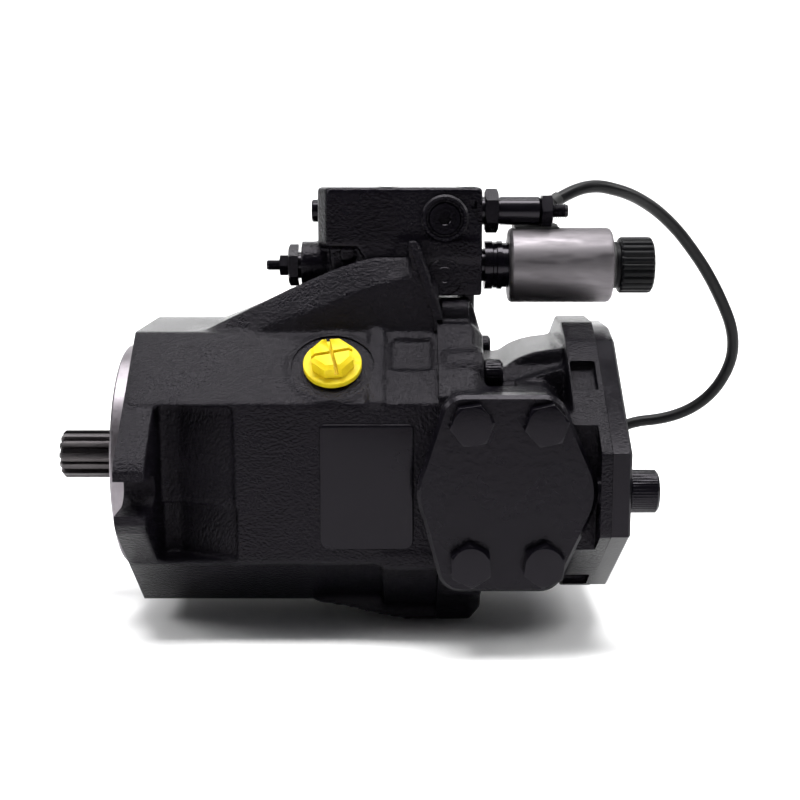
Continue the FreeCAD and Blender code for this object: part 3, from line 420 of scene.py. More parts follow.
def pointing(direction, spot):
    """Matrix that takes +X to a direction and the origin to a spot."""
    turn = Vector((1, 0, 0)).rotation_difference(Vector(direction)).to_matrix().to_4x4()
    return Matrix.Translation(Vector(spot)) @ turn


def mirror_y(outline):
    """An outline across X given for +Y from top to bottom, closed on the other side."""
    return outline + [(-y, z) for y, z in reversed(outline)]


# ---------------------------------------------------------------- camera, floor and light

CAMERA_SPOT = Vector((0.1158, -0.6062, 0.1323))
CAMERA_DIP = math.radians(10)
FOCAL_LENGTH = 59.6
SENSOR = 36.0


def set_stage():
    data = bpy.data.cameras.new("camera")
    data.sensor_width = SENSOR
    data.lens = FOCAL_LENGTH
    data.clip_start = 0.01
    camera = bpy.data.objects.new("camera", data)
    camera.location = CAMERA_SPOT
    camera.rotation_euler = (math.radians(90) - CAMERA_DIP, 0, 0)
    bpy.context.scene.collection.objects.link(camera)
    bpy.context.scene.camera = camera
    bpy.context.scene.view_settings.view_transform = "Standard"
    build_backdrop()
    set_world()
    for name, spot, aim, width, height, power in LAMPS:
        lamp_data = bpy.data.lights.new(name, "AREA")
        lamp_data.shape = "RECTANGLE"
        lamp_data.size = width
        lamp_data.size_y = height
        lamp_data.energy = power
        lamp = bpy.data.objects.new(name, lamp_data)
        lamp.location = spot
        lamp.rotation_euler = (Vector(aim) - Vector(spot)).to_track_quat("-Z", "Y").to_euler()
        bpy.context.scene.collection.objects.link(lamp)


# name, place and aim in metres, width, height and watts of each softbox
LAMPS = [("left_softbox", (-0.85, -0.35, 0.75), (0.1, 0, 0), 0.40, 0.40, 5.0),
         ("overhead_softbox", (0.12, -0.17, 1.00), (0.12, -0.17, 0), 0.9, 0.36, 18.0),
         ("right_softbox", (0.95, 0.10, 0.55), (0.1, 0, 0), 0.30, 0.45, 4.0),
         ("wall_wash", (0.10, 0.60, 1.60), (0.1, 1.9, 0.4), 2.2, 0.4, 42.0)]


def build_backdrop():
    """A pale sweep: level floor, a curve and an upright wall well behind the object."""
    level = CAD_BOX[0][2] - 0.0003
    reach, wall, bend, top = 4.0, 1.9, 0.7, 3.0
    profile = [(-3.0, level), (wall - bend, level)]
    profile += [(y, z) for y, z in arc((wall - bend, level + bend), bend, -90, 0, 16)][1:]
    profile.append((wall, top))
    vertices = [(x, y, z) for y, z in profile for x in (-reach, reach)]
    faces = [(2 * k, 2 * k + 1, 2 * k + 3, 2 * k + 2) for k in range(len(profile) - 1)]
    sweep = mesh_from(vertices, faces, "sweep")
    for face in sweep.data.polygons:
        face.use_smooth = True
    pale, _, _, shader = new_material("pale_sweep")
    shader.inputs["Base Color"].default_value = (0.96, 0.96, 0.96, 1)
    shader.inputs["Roughness"].default_value = 0.9
    shader.inputs["Specular IOR Level"].default_value = 0.0
    sweep.data.materials.append(pale)


def set_world():
    """A studio room: white behind and above the object, dark on the camera's side."""
    world = bpy.data.worlds.new("studio")
    bpy.context.scene.world = world
    world.use_nodes = True
    nodes, links = world.node_tree.nodes, world.node_tree.links
    split = nodes.new("ShaderNodeSeparateXYZ")
    links.new(nodes.new("ShaderNodeTexCoord").outputs["Generated"], split.inputs["Vector"])
    lean = nodes.new("ShaderNodeMath")
    lean.operation = "MULTIPLY_ADD"
    lean.inputs[1].default_value = 0.7
    links.new(split.outputs["Y"], lean.inputs[0])
    links.new(split.outputs["Z"], lean.inputs[2])
    links.new(tint(nodes, links, lean.outputs["Value"], (0.05, 0.05, 0.055), (0.95, 0.95, 0.96), 0.1, 0.9),
              nodes["Background"].inputs["Color"])
    nodes["Background"].inputs["Strength"].default_value = 0.95


# ---------------------------------------------------------------- cable

CABLE_ROUTE = [(183.0, 13.0, 113.0), (191.0, 17.0, 119.0), (206.0, 24.0, 124.0), (221.0, 32.0, 121.0),
               (231.5, 41.0, 117.0), (243.5, 50.0, 110.0), (257.0, 58.0, 98.0), (275.5, 68.0, 74.5),
               (292.0, 78.0, 42.0), (284.5, 87.0, 15.0), (265.0, 95.0, -1.0), (234.0, 101.0, -5.0),
               (213.0, 106.0, -30.0), (198.0, 109.0, -55.0), (180.0, 109.0, -66.5), (155.0, 106.0, -66.9),
               (128.0, 101.0, -66.9), (104.0, 101.0, -66.9)]
CABLE_DIAMETER = 6.0


def build_cable():
    curve = bpy.data.curves.new("coil_cable_sleeve", "CURVE")
    curve.dimensions = "3D"
    curve.bevel_depth = CABLE_DIAMETER / 2 * MM
    curve.bevel_resolution = 6
    curve.resolution_u = 16
    curve.use_fill_caps = True
    spline = curve.splines.new("NURBS")
    spline.points.add(len(CABLE_ROUTE) - 1)
    for point, spot in zip(spline.points, CABLE_ROUTE):
        point.co = (spot[0] * MM, spot[1] * MM, spot[2] * MM, 1)
    spline.order_u = 3
    spline.use_endpoint_u = True
    curve.materials.append(SLEEVE)
    item = bpy.data.objects.new("coil_cable_sleeve", curve)
    bpy.context.scene.collection.objects.link(item)
    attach(item, CASE)
    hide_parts("coil_cable")

    start = Vector(CABLE_ROUTE[0])
    line = (Vector(CABLE_ROUTE[1]) - start).normalized()
    relief = lathe([(-8, 0), (-8, 5.2), (-1, 5.0), (0, 4.4), (1.2, 4.4), (1.2, 3.9), (2.2, 3.9), (2.2, 4.2),
                    (3.6, 4.1), (3.6, 3.7), (4.6, 3.7), (4.6, 4.0), (6.0, 3.8), (6.0, 3.4), (9.0, 3.15), (9.0, 0)],
                   sides=40)
    piece(moved(relief, pointing(line, start)), "cable_strain_relief", RUBBER)
    connector = build_connector()


def build_connector():
    """Two-pin connector lying on the floor behind the pump."""
    x, y, z = CABLE_ROUTE[-1]
    shell = block((x - 34, y - 9.5, z - 3.0), (x - 10, y + 9.5, z + 12.0))
    shell = bevel(shell, 1.6, 3)
    carve(shell, bevel(block((x - 40, y - 8, z - 1.6), (x - 26, y + 8, z + 10.5)), 0.8, 2))
    neck = lathe([(-12, 0), (-12, 4.8), (-8, 4.8), (-8, 4.2), (-6, 4.2), (-6, 4.6), (-4, 4.5), (-4, 3.9), (0, 3.4),
                  (0, 0)], centre=(x, y, z), sides=40)
    add(shell, neck)
    for side in (-1, 1):
        rib = block((x - 30, y + side * 9.2 - 0.5, z + 1.0), (x - 12, y + side * 9.2 + 0.5, z + 3.0))
        add(shell, rib)
    latch = block((x - 24, y - 3, z + 11.0), (x - 16, y + 3, z + 11.9))
    add(shell, latch)
    item = piece(shell, "cable_connector_shell", KNOB, node="cable_connector")
    pins = [block((x - 33, y + side * 3.6 - 1, z + 3.5), (x - 22, y + side * 3.6 + 1, z + 5.5))
            for side in (-1, 1)]
    pins = [bevel(pin, 0.3, 1) for pin in pins]
    piece(joined(pins), "connector_pins", COPPER)
    return item


# ---------------------------------------------------------------- housing

FLAT_HALF = 30.0
TOP = 61.0
SIDE = 62.0
SIDE_CORNER = 34.5
EAR = (84.0, 15.0)
EAR_TIP = 87.0
FLANGE = 13.0
DIAGONAL = Vector((0, 32.0, -26.5)).normalized()        # runs down the +Y diagonal face
NORMAL = Vector((0, 26.5, 32.0)).normalized()           # out of the +Y diagonal face


def on_diagonal(side, x, down, out):
    """A point on a top diagonal face: down from its upper edge and out of its plane, side -1 is near."""
    spot = Vector((x, FLAT_HALF, TOP)) + DIAGONAL * down + NORMAL * out
    return Vector((spot.x, spot.y * side, spot.z))


def diagonal_block(side, x, down, out):
    """A box on a diagonal face: x, down and out are (from, to)."""
    corners = [on_diagonal(side, a, b, c) for a in x for b in down for c in out]
    faces = [(0, 1, 3, 2), (4, 6, 7, 5), (0, 4, 5, 1), (2, 3, 7, 6), (0, 2, 6, 4), (1, 5, 7, 3)]
    return mesh_from([(v.x, v.y, v.z) for v in corners], faces)


def build_housing():
    case = mirror_y([(FLAT_HALF, TOP), (SIDE, SIDE_CORNER), (SIDE, -SIDE_CORNER), (FLAT_HALF, -TOP)])
    body = prism(case, "X", 2.0, JOINT_X + 2.0)
    flange = mirror_y([(FLAT_HALF, TOP), EAR, (EAR_TIP, 11.0), (EAR_TIP, -11.0), (EAR[0], -EAR[1]),
                       (FLAT_HALF, -TOP)])
    add(body, prism(flange, "X", -3.0, FLANGE))
    bulge = [(76, -58), (JOINT_X + 2, -58), (JOINT_X + 2, -69.6), (118, -69.4), (104, -66.8), (92, -63.6),
             (78, -61.4)]
    add(body, prism(bulge, "Y", -33, 33))
    thick = mirror_y([(FLAT_HALF + 2, -30.0), (SIDE + 0.8, -30), (SIDE + 0.8, -SIDE_CORNER - 2), (33, -63.5)])
    add(body, prism(thick, "X", 108, JOINT_X + 2))
    add(body, *tower_parts())
    for side in (-1, 1):
        carve(body, *side_pockets(side))
        add(body, diagonal_block(side, (102.5, 109.0), (-1, 42), (-4, 1.5)))
        carve(body, diagonal_block(side, (111.5, 130.0), (4, 22), (-1.8, 6)))
        boss = lathe([(-8, 0), (-8, 20.0), (0.3, 20.0), (0.9, 19.2), (0.9, 0)], sides=96)
        spot = on_diagonal(side, 87.0, 21.0, 0.0)
        normal = Vector((0, NORMAL.y * side, NORMAL.z))
        add(body, moved(boss, pointing(normal, spot)))
    cast(body, 1.1, 4)
    add(body, leaning_rim())
    carve_housing(body)
    item = piece(body, "housing_casting", CAST, node="pump_housing")
    paint_bare_face(item)
    ring = lathe([(-9.5, 20.2), (-9.5, PILOT_RADIUS - 1.0), (-8.6, PILOT_RADIUS), (-1.6, PILOT_RADIUS),
                  (-1.4, PILOT_RADIUS - 0.7), (-0.6, PILOT_RADIUS - 0.7), (0.05, PILOT_RADIUS - 0.4), (0.05, 20.2)],
                 sides=160)
    piece(ring, "pilot_ring", BARE)
    pad = prism(nameplate_outline(), "Y", -SIDE - 0.75, -SIDE + 1.5)
    pad = bevel(pad, 0.5, 3)
    piece(pad, "nameplate_pad", SMOOTH)


def nameplate_outline():
    left, right, bottom, top, round_off = 82.0, 121.5, -28.0, 26.0, 4.0
    return (arc((left + round_off, bottom + round_off), round_off, 180, 270, 6)
            + arc((right - round_off, bottom + round_off), round_off, 270, 360, 6)
            + arc((right - 2, top - 2), 2.0, 0, 90, 4) + arc((left + 2, top - 2), 2.0, 90, 180, 4))


def skinned(sections):
    """A closed solid through equal rings of points."""
    count = len(sections[0])
    faces = [list(range(count)), [len(sections) * count - 1 - k for k in range(count)]]
    for row in range(len(sections) - 1):
        faces += [[row * count + k, row * count + (k + 1) % count, (row + 1) * count + (k + 1) % count,
                   (row + 1) * count + k] for k in range(count)]
    return mesh_from([point for ring in sections for point in ring], faces)


def tower_parts():
    """Wedge over the control piston, the rib beside the valve and the leaning rim of the joint."""
    wedge = [(26, 59), (66, 74.6), (JOINT_X + 1, 74.6), (JOINT_X + 1, 59)]
    half = 28.0
    top_half = 21.0
    vertices = []
    for x, z in wedge:
        reach = half if z < 60 else top_half
        vertices += [(x, -reach, z), (x, half, z)]
    faces = [(0, 1, 3, 2), (2, 3, 5, 4), (4, 5, 7, 6), (6, 7, 1, 0), (0, 2, 4, 6), (1, 7, 5, 3)]
    core = mesh_from(vertices, faces)
    top = [(28, 60.5), (70, 80.6), (88, 88.4), (98, 91.8), (106, 93.4), (121, 93.4)]
    crease = [(30, 51), (71, 67.6), (88, 74.4), (98, 78.4), (106, 81.4), (122, 85.6)]
    low = [(30, 50), (71, 58), (88, 58), (98, 58), (106, 58), (122, 58)]
    sections = []
    for (x, high), (_, middle), (_, foot) in zip(top, crease, low):
        foot_y = -29.8 if x > 60 else -27.0
        sections.append([(x, -22.7, high), (x, -24.4, high), (x, -30.6, middle), (x, foot_y, foot),
                         (x, -22.7, foot)])
    end = [(JOINT_X + 1, y, z - 12.0) for _, y, z in sections[-1][:3]]
    sections.append(end + [(JOINT_X + 1, -29.8, 58), (JOINT_X + 1, -22.7, 58)])
    rib = skinned(sections)
    rim = [(118.4, 100), (124.2, 100), (135.6, 66.2), (JOINT_X, 66.2), (JOINT_X, 59), (127.6, 59)]
    return core, rib, prism(rim, "Y", -30.4, -22.7)


def leaning_rim():
    """Raised edge strip on the joint's side of the tower."""
    edge = [(119.2, 100.6), (123.0, 100.6), (134.9, 66.0), (134.9, 61.0), (130.4, 61.0), (130.4, 66.6)]
    return bevel(prism(edge, "Y", -31.6, -23.0), 0.8, 3)


def side_pockets(side):
    """Bolt relief behind each ear: a slanting scoop, deeper below a small step."""
    def scoop(depth, low, high, reach):
        outline = [(FLANGE, SIDE + 8), (reach, SIDE + 8), (reach, SIDE - 1.5), (FLANGE + 8, SIDE - depth),
                   (FLANGE, SIDE - depth)]
        return prism([(x, y * side) for x, y in outline], "Z", low, high)
    return (scoop(10.0, -11.0, SIDE_CORNER - 1.0, 46.0), scoop(14.0, -SIDE_CORNER + 1.0, -10.0, 47.0))


def carve_housing(body):
    """Machined cuts, made after casting so that their edges stay crisp."""
    carve(body, block((-30, -120, -100), (0, 120, 120)),
          block((JOINT_X, -120, -100), (JOINT_X + 30, 120, 66.4)))
    for side in (-1, 1):
        slot = (arc((BOLT_OFFSET * side, 0), SLOT_HALF, 90, 270, 16) if side > 0
                else arc((BOLT_OFFSET * side, 0), SLOT_HALF, -90, 90, 16))
        out = (BOLT_OFFSET + 25) * side
        slot += [(out, -SLOT_HALF), (out, SLOT_HALF)] if side > 0 else [(out, SLOT_HALF), (out, -SLOT_HALF)]
        carve(body, prism(slot, "X", -5, FLANGE + 4))
        normal = Vector((0, NORMAL.y * side, NORMAL.z))
        spot = on_diagonal(side, 87.0, 21.0, 0.0)
        face = lathe([(0.1, 0), (0.1, 17.8), (8, 17.8), (8, 0)], sides=128)
        bore = lathe([(-26, 0), (-26, 10.35), (8, 10.35), (8, 0)], sides=64)
        carve(body, moved(face, pointing(normal, spot)), moved(bore, pointing(normal, spot)))
    carve(body, rod(46.0, "X", 20.0, JOINT_X + 5, (0, 0), 128), rod(31.0, "X", 2.0, 30.0, (0, 0), 96),
          rod(20.0, "X", -5.0, 10.0, (0, 0), 96), rod(7.6, "X", 58.0, JOINT_X + 5, (0, 57.0)),
          rod(6.4, "X", 40.0, JOINT_X + 5, (0, -51.0)), block((20.0, -8, -57), (46, 8, -30)),
          block((48, -8, 30), (76, 8, 62.5)))


def paint_bare_face(item):
    """The mounting face is bare machined iron."""
    item.data.materials.append(BARE)
    for polygon in item.data.polygons:
        if polygon.normal.x < -0.99 and polygon.center.x < 0.0002:
            polygon.material_index = 1


# ---------------------------------------------------------------- shapes shared by several pieces

def chamfered(outline, along, start, end, width):
    """A flat plate of a convex outline whose end face has a chamfer all round."""
    count = len(outline)
    inset = []
    for k in range(count):
        before, here, after = (Vector(outline[(k + j) % count]) for j in (-1, 0, 1))
        one, two = (here - before).normalized(), (after - here).normalized()
        inward = (Vector((-one.y, one.x)) + Vector((-two.y, two.x))).normalized()
        middle = sum((Vector(p) for p in outline), Vector((0, 0))) / count
        if inward.dot(middle - here) < 0:
            inward = -inward
        inset.append(here + inward * width / max(0.5, math.cos(one.angle(two) / 2)))
    step = width if end > start else -width
    rows = [(start, outline), (end - step, outline), (end, inset)]
    vertices = [spread(along, level, p[0], p[1]) for level, ring in rows for p in ring]
    faces = [list(range(count)), list(range(3 * count - 1, 2 * count - 1, -1))]
    for row in range(2):
        base = row * count
        faces += [[base + k, base + (k + 1) % count, base + count + (k + 1) % count, base + count + k]
                  for k in range(count)]
    return mesh_from(vertices, faces)


def hexagon(across_flats, start, end, chamfers=(True, True), turn=0.0):
    """A hexagon along X with the round chamfer that a nut or bolt head has at its ends."""
    item = prism(hex_ring(across_flats, (0, 0), turn), "X", start, end)
    reach = across_flats / math.cos(math.radians(30)) / 2
    drop = (reach - across_flats / 2) * 0.62
    low = across_flats / 2 * 0.98 if chamfers[0] else reach + 1
    high = across_flats / 2 * 0.98 if chamfers[1] else reach + 1
    profile = [(start - 0.01, 0), (start - 0.01, low), (start + drop, reach + 0.2), (end - drop, reach + 0.2),
               (end + 0.01, high), (end + 0.01, 0)]
    return combine(item, [lathe(profile, sides=96)], "INTERSECT")


def socket_head(radius, height, key, ridges=48):
    """Head of a cap screw along +X from 0: a fine knurl, a chamfered top and a hexagon socket."""
    def knurl(distance, angle, size):
        plain = distance < 0.8 or distance > height - 1.2 or size < radius - 0.5
        return 0.0 if plain else -0.16 * (0.5 + 0.5 * math.cos(ridges * angle))
    rows = [(0, 0), (0, radius - 0.3), (0.5, radius), (0.9, radius), (1.0, radius), (height - 1.3, radius),
            (height - 1.0, radius), (height, radius - 1.0), (height, 0)]
    item = lathe(rows, sides=ridges * 4, ripple=knurl)
    recess = prism(hex_ring(key, (0, 0)), "X", height * 0.45, height + 1)
    mouth = lathe([(height - 0.5, 0), (height - 0.5, key / 2 + 0.1), (height + 0.1, key / 2 + 0.8),
                   (height + 0.1, 0)], sides=48)
    return carve(item, recess, mouth)


def screw_thread(radius, pitch, start, end, tip):
    """A threaded stud along X with a real helical thread and a chamfered tip on the high side."""
    rings_per_turn = 10
    depth = pitch * 0.55
    rows = int((end - start) / pitch * rings_per_turn)
    profile = [(start, 0), (start, radius - depth)]
    profile += [(start + (end - start - tip) * k / rows, radius) for k in range(rows + 1)]
    profile += [(end, radius - depth - 0.1), (end, 0)]

    def groove(distance, angle, size):
        if size < radius:
            return 0.0
        phase = (distance / pitch - angle / (2 * math.pi)) % 1.0
        return -depth * (1 - abs(2 * phase - 1))
    return lathe(profile, sides=40, ripple=groove)


def plain_stud(radius, start, end):
    chamfer = 0.5
    return lathe([(start, 0), (start, radius), (end - chamfer, radius), (end, radius - chamfer), (end, 0)],
                 sides=40)


# ---------------------------------------------------------------- port plate

SCREW_SPOTS = [(side * 41.0, level * 44.0) for side in (-1, 1) for level in (-1, 1)]
FLANGE_END = 152.0                   # rear face of the joint flange
REAR_START = 188.0                   # front face of the rear flange
SUCTION_PITCH = (15.1, 29.35)
EAR_SCREW = 73.0


def rear_outline(top, bottom):
    return mirror_y([(13.0, top), (28.0, 57.0), (83.0, 18.0), (83.0, -17.0), (27.0, bottom)])


def build_port_plate():
    joint = mirror_y([(31, 64.8), (63.4, 38), (63.4, -38), (37, -62), (33, -69.7)])
    body = chamfered(joint, "X", JOINT_X - 2, FLANGE_END, 5.0)
    add(body, prism(mirror_y([(28, 45), (35, 38), (35, -37), (28, -52)]), "X", 136, PORT_END - 4))
    saddle = [(150, 40), (156, 41.5), (162, 45), (168, 49), (174, 51.3), (181, 52.6), (REAR_START + 4, 53.6),
              (REAR_START + 4, 30), (150, 30)]
    add(body, prism(saddle, "Y", -27, 27), prism(rear_outline(63.4, -55.6), "X", REAR_START, PORT_END + 2))
    suction = [(138, 40), (178, 40), (184, 34), (194.5, 10), (194.5, -10), (184, -34), (178, -40), (138, -40),
               (JOINT_X + 1, -22), (JOINT_X + 1, 22)]
    add(body, prism(suction, "Y", SUCTION_FACE - 2, -30))
    add(body, prism([(138, 34), (182, 34), (182, -34), (138, -34)], "Y", 30, PRESSURE_FACE + 2))
    seat = [(JOINT_X - 2, 40), (FLANGE_END, 40), (151.5, 60), (148.5, 70.5), (146.5, 75), (JOINT_X - 2, 75)]
    add(body, prism(seat, "Y", -20, 20), rod(4.4, "X", JOINT_X + 1, 146.2, (-21.5, 69.3)))
    for y, z in SCREW_SPOTS:
        add(body, rod(10.8, "X", JOINT_X + 3.0, FLANGE_END - 0.3, (y * 1.01, z * 1.01)))
    for side in (-1, 1):
        web = [(FLANGE_END, 30), (REAR_START + 2, 30), (REAR_START + 2, 47), (176, 43), (160, 38)]
        add(body, prism(web, "Y", side * 30 - 7, side * 30 + 7))
    cast(body, 1.15, 5)
    carve_port_plate(body)
    piece(body, "port_plate_casting", CAST, node="port_plate")


def carve_port_plate(body):
    carve(body, block((100, -120, -100), (JOINT_X + 0.12, 120, 66.2)), block((100, -120, 66), (134.6, -20.4, 100)),
          block((PORT_END, -120, -100), (PORT_END + 20, 120, 100)),
          block((110, SUCTION_FACE - 25, -60), (197.6, SUCTION_FACE, 60)),
          block((110, PRESSURE_FACE, -60), (198, PRESSURE_FACE + 10, 60)),
          block((100, -30, VALVE_LOW[2]), (160, 30, 90)))
    for y, z in SCREW_SPOTS:
        carve(body, rod(8.6, "X", FLANGE_END, 166, (y, z)),
              rod(4.4, "X", JOINT_X - 2, FLANGE_END + 2, (y, z)))
    for side in (-1, 1):
        for flip in (-1, 1):
            carve(body, ear_pocket(side, flip))
        carve(body, rod(6.15, "X", 196, PORT_END + 2, (EAR_SCREW * side, 0)))
    carve(body, rod(24.6, "X", JOINT_X - 2, 157, (0, 0), 96), rod(19.5, "X", 150, PORT_END + 2, (0, 0), 96),
          rod(20.5, "Y", SUCTION_FACE - 2, -22, (PORT_X, 0), 96),
          rod(PRESSURE_BORE, "Y", 27, PRESSURE_FACE + 2, (PORT_X, 0), 64))
    for i in (-1, 1):
        for k in (-1, 1):
            carve(body, rod(4.25, "Y", PRESSURE_FACE - 17, PRESSURE_FACE + 2,
                            (PORT_X + i * PRESSURE_PITCH[0], k * PRESSURE_PITCH[1]), 32),
                  rod(5.1, "Y", SUCTION_FACE - 2, SUCTION_FACE + 24,
                      (PORT_X + i * SUCTION_PITCH[0], k * SUCTION_PITCH[1]), 32))
    for x, y in VALVE_SCREWS:
        if x > JOINT_X:
            carve(body, rod(3.1, "Z", 60, 78, (x, y), 24))


def ear_pocket(side, flip):
    """A pocket in a sloping edge of the rear flange, for the wrench of the mounting screw."""
    along = Vector((0, 55, -39)).normalized()
    out = Vector((0, 39, 55)).normalized()
    start = Vector((0, 28.0, 57.0 if flip > 0 else 55.6))
    near, far = (13.0, 31.0) if flip > 0 else (2.0, 16.0)
    corners = []
    for x in (REAR_START + 1.2, PORT_END - 2.0):
        for run in (near, far):
            for height in (-4.2, 4.0):
                spot = start + along * run + out * height
                corners.append((x, spot.y * side, spot.z * flip))
    faces = [(0, 1, 3, 2), (4, 6, 7, 5), (0, 4, 5, 1), (2, 3, 7, 6), (0, 2, 6, 4), (1, 5, 7, 3)]
    return bevel(mesh_from(corners, faces), 1.2, 3)


def build_suction_cover():
    right = arc((171.8, 0), 25.0, -25, 25, 10) + arc((174.5, 31), 10.0, 25, 90, 8)
    left = arc((142.0, 31), 10.0, 90, 155, 8) + arc((148.2, 0), 25.4, 155, 205, 10)
    low = arc((141.0, -32), 10.0, 205, 270, 8) + arc((174.0, -32), 10.0, 270, 335, 8)
    plate = chamfered(right + left + low, "Y", SUCTION_FACE, SUCTION_LOW[1], 1.5)
    for i in (-1, 1):
        for k in (-1, 1):
            carve(plate, rod(5.1, "Y", SUCTION_LOW[1] - 1, SUCTION_FACE + 1,
                             (PORT_X + i * SUCTION_PITCH[0], k * SUCTION_PITCH[1]), 32))
    piece(plate, "suction_port_cover", COVER, node="suction_cover", angle=20.0)
    turns = {(-1, 1): 8.0, (1, 1): 12.0, (-1, -1): 33.0, (1, -1): 24.0}
    bolts = []
    for (i, k), turn in turns.items():
        head = hexagon(16.0, 0.5, 6.4, (False, True), turn)
        add(head, lathe([(0, 0), (0, 7.5), (0.55, 7.5), (0.55, 0)], sides=64),
            lathe([(-24, 0), (-24, 4.5), (-23.5, 5.0), (0.1, 5.0), (0.1, 0)], sides=32))
        bevel(head, 0.22, 2, 25.0)
        spot = (PORT_X + i * SUCTION_PITCH[0], SUCTION_LOW[1], k * SUCTION_PITCH[1])
        bolts.append(moved(head, pointing((0, -1, 0), spot)))
    piece(joined(bolts), "suction_cover_hex_bolts", SMOOTH, node="suction_cover_bolts")


def build_through_drive_cover():
    plate = chamfered(rear_outline(61.0, -55.0), "X", PORT_END + 0.15, COVER_END, 0.9)
    for side in (-1, 1):
        carve(plate, rod(6.4, "X", PORT_END - 1, COVER_END + 1, (EAR_SCREW * side, 0), 48))
    piece(plate, "through_drive_plate", SMOOTH, node="through_drive_cover", angle=20.0)
    screws = [moved(add(socket_head(9.0, 12.0, 10.0), plain_stud(6.0, -13.0, 0.1)),
                    Matrix.Translation((COVER_END, EAR_SCREW * side, 0))) for side in (-1, 1)]
    piece(joined(screws), "cover_socket_screws", SMOOTH, node="through_drive_screws")
    screws = [moved(add(socket_head(6.5, 8.0, 6.0, ridges=36), plain_stud(4.0, -40.0, 0.1)),
                    Matrix.Translation((FLANGE_END, y, z))) for y, z in SCREW_SPOTS]
    piece(joined(screws), "joint_socket_screws", SMOOTH, node="housing_screws")


# ---------------------------------------------------------------- drain port

def build_drain_cap():
    """Yellow shipping plug: a thin flange and a raised centre cut by a cross of grooves."""
    normal = Vector((0, -NORMAL.y, NORMAL.z))
    spot = on_diagonal(-1, 87.0, 21.0, 0.0)
    flange = lathe([(0.6, 0), (0.6, 12.0), (1.0, 12.5), (3.0, 12.5), (3.4, 12.2), (3.4, 0)], sides=96)
    stem = lathe([(-9.0, 0), (-9.0, 9.0), (-7.5, 9.8), (0.8, 9.9), (0.8, 0)], sides=64)
    crown = chamfered([(9.6 * math.cos(math.radians(45 * k + 22.5)), 9.6 * math.sin(math.radians(45 * k + 22.5)))
                       for k in range(8)], "X", 3.0, 10.0, 1.6)
    for turn in (0, 90):
        groove = prism([(-12, -0.8), (12, -0.8), (12, 0.8), (-12, 0.8)], "X", 5.0, 12)
        carve(crown, moved(groove, Matrix.Rotation(math.radians(turn + 53), 4, "X")))
    add(flange, stem, crown)
    item = bevel(flange, 0.28, 2, 40.0)
    piece(moved(item, pointing(normal, spot)), "drain_port_plug", YELLOW, node="drain_port_cap")


# ---------------------------------------------------------------- control valve

VALVE_SCREWS = [(x, y) for x in (110.0, 146.0) for y in (-15.0, 15.0)]
BOSS_X = 135.4
UPPER_BOSS_Z = 109.8
LOWER_BOSS_Z = 84.2
HEAD_FRONT = -21.5
HEAD_BACK = 21.8


def build_valve():
    left, right, top = 79.2, 152.0, VALVE_HIGH[2]
    outline = [(left, -12.5), (left + 4.5, HEAD_FRONT), (right, HEAD_FRONT), (right, HEAD_BACK),
               (left + 4.5, HEAD_BACK), (left, 13)]
    body = bevel(prism(outline, "Z", 97.0, top), 1.6, 3)
    low = [(102, 76), (right, 76), (right, 99), (96, 99), (102, 90)]
    add(body, prism(low, "Y", -21.4, HEAD_BACK - 0.4), rod(10.8, "X", 71.2, 120, (0, LOWER_Z), 64))
    shoulder = [(112, 92), (right, 92), (right, 100.5), (116, 101.5)]
    add(body, prism(shoulder, "Y", -22.0, -10))
    web = [(80, 92), (80, 101), (112, 101), (112, 84), (92, 84)]
    add(body, prism(web, "Y", -9, 9), prism([(86, 82), (97, 82), (99, 99), (84, 99)], "Y", -13.5, 13.5))
    add(body, rod(4.2, "Z", 86, 99, (99.5, -13.5)), rod(3.4, "Y", -17.5, -8, (92.5, 94.0)))
    add(body, rod(8.4, "X", 79.0, 90, (0, UPPER_Z), 64))
    cast(body, 0.85, 4)
    notch = [(left + 66.5, top - 6.0), (right + 2, top - 6.0), (right + 2, 100)]
    carve(body, prism(notch, "Y", HEAD_FRONT - 3, HEAD_FRONT + 2.2))
    carve(body, block((right, -40, 60), (right + 20, 40, 140)), block((60, -40, 60), (180, 40, VALVE_LOW[2])))
    upper = lathe([(-8, 0), (-8, 10.5), (2.2, 10.5), (3.2, 9.6), (3.2, 8.4), (1.4, 8.0), (1.4, 6.2), (-6, 6.1),
                   (-6, 0)], sides=96)
    add(body, moved(upper, pointing((0, -1, 0), (BOSS_X, HEAD_FRONT, UPPER_BOSS_Z))))
    lower = lathe([(-8, 0), (-8, 8.1), (0.9, 8.1), (1.5, 7.5), (1.5, 0)], sides=96)
    add(body, moved(lower, pointing((0, -1, 0), (BOSS_X, -21.1, LOWER_BOSS_Z))))
    for x, y in VALVE_SCREWS:
        carve(body, rod(5.6, "Z", 114, 130, (x, y)), rod(3.1, "Z", 60, 116, (x, y), 24))
    carve(body, rod(4.06, "X", 76, 160, (0, UPPER_Z)), rod(6.6, "X", 128, 160, (0, UPPER_Z)),
          rod(5.05, "X", 60, 160, (0, LOWER_Z)), rod(7.6, "X", 144, 160, (0, LOWER_Z)),
          rod(6.1, "X", 60, 82, (0, LOWER_Z)), rod(6.0, "Y", -26, -16, (BOSS_X, UPPER_BOSS_Z)))
    piece(body, "valve_casting", VALVE_PAINT, node="valve_body")
    screws = [moved(add(socket_head(5.0, 6.0, 5.0, ridges=30), plain_stud(3.0, -50.0, 0.1)),
                    Matrix.Translation((x, y, 114.0)) @ Matrix.Rotation(math.radians(-90), 4, "Y"))
              for x, y in VALVE_SCREWS]
    piece(joined(screws), "valve_socket_screws", SMOOTH, node="valve_body_screws")


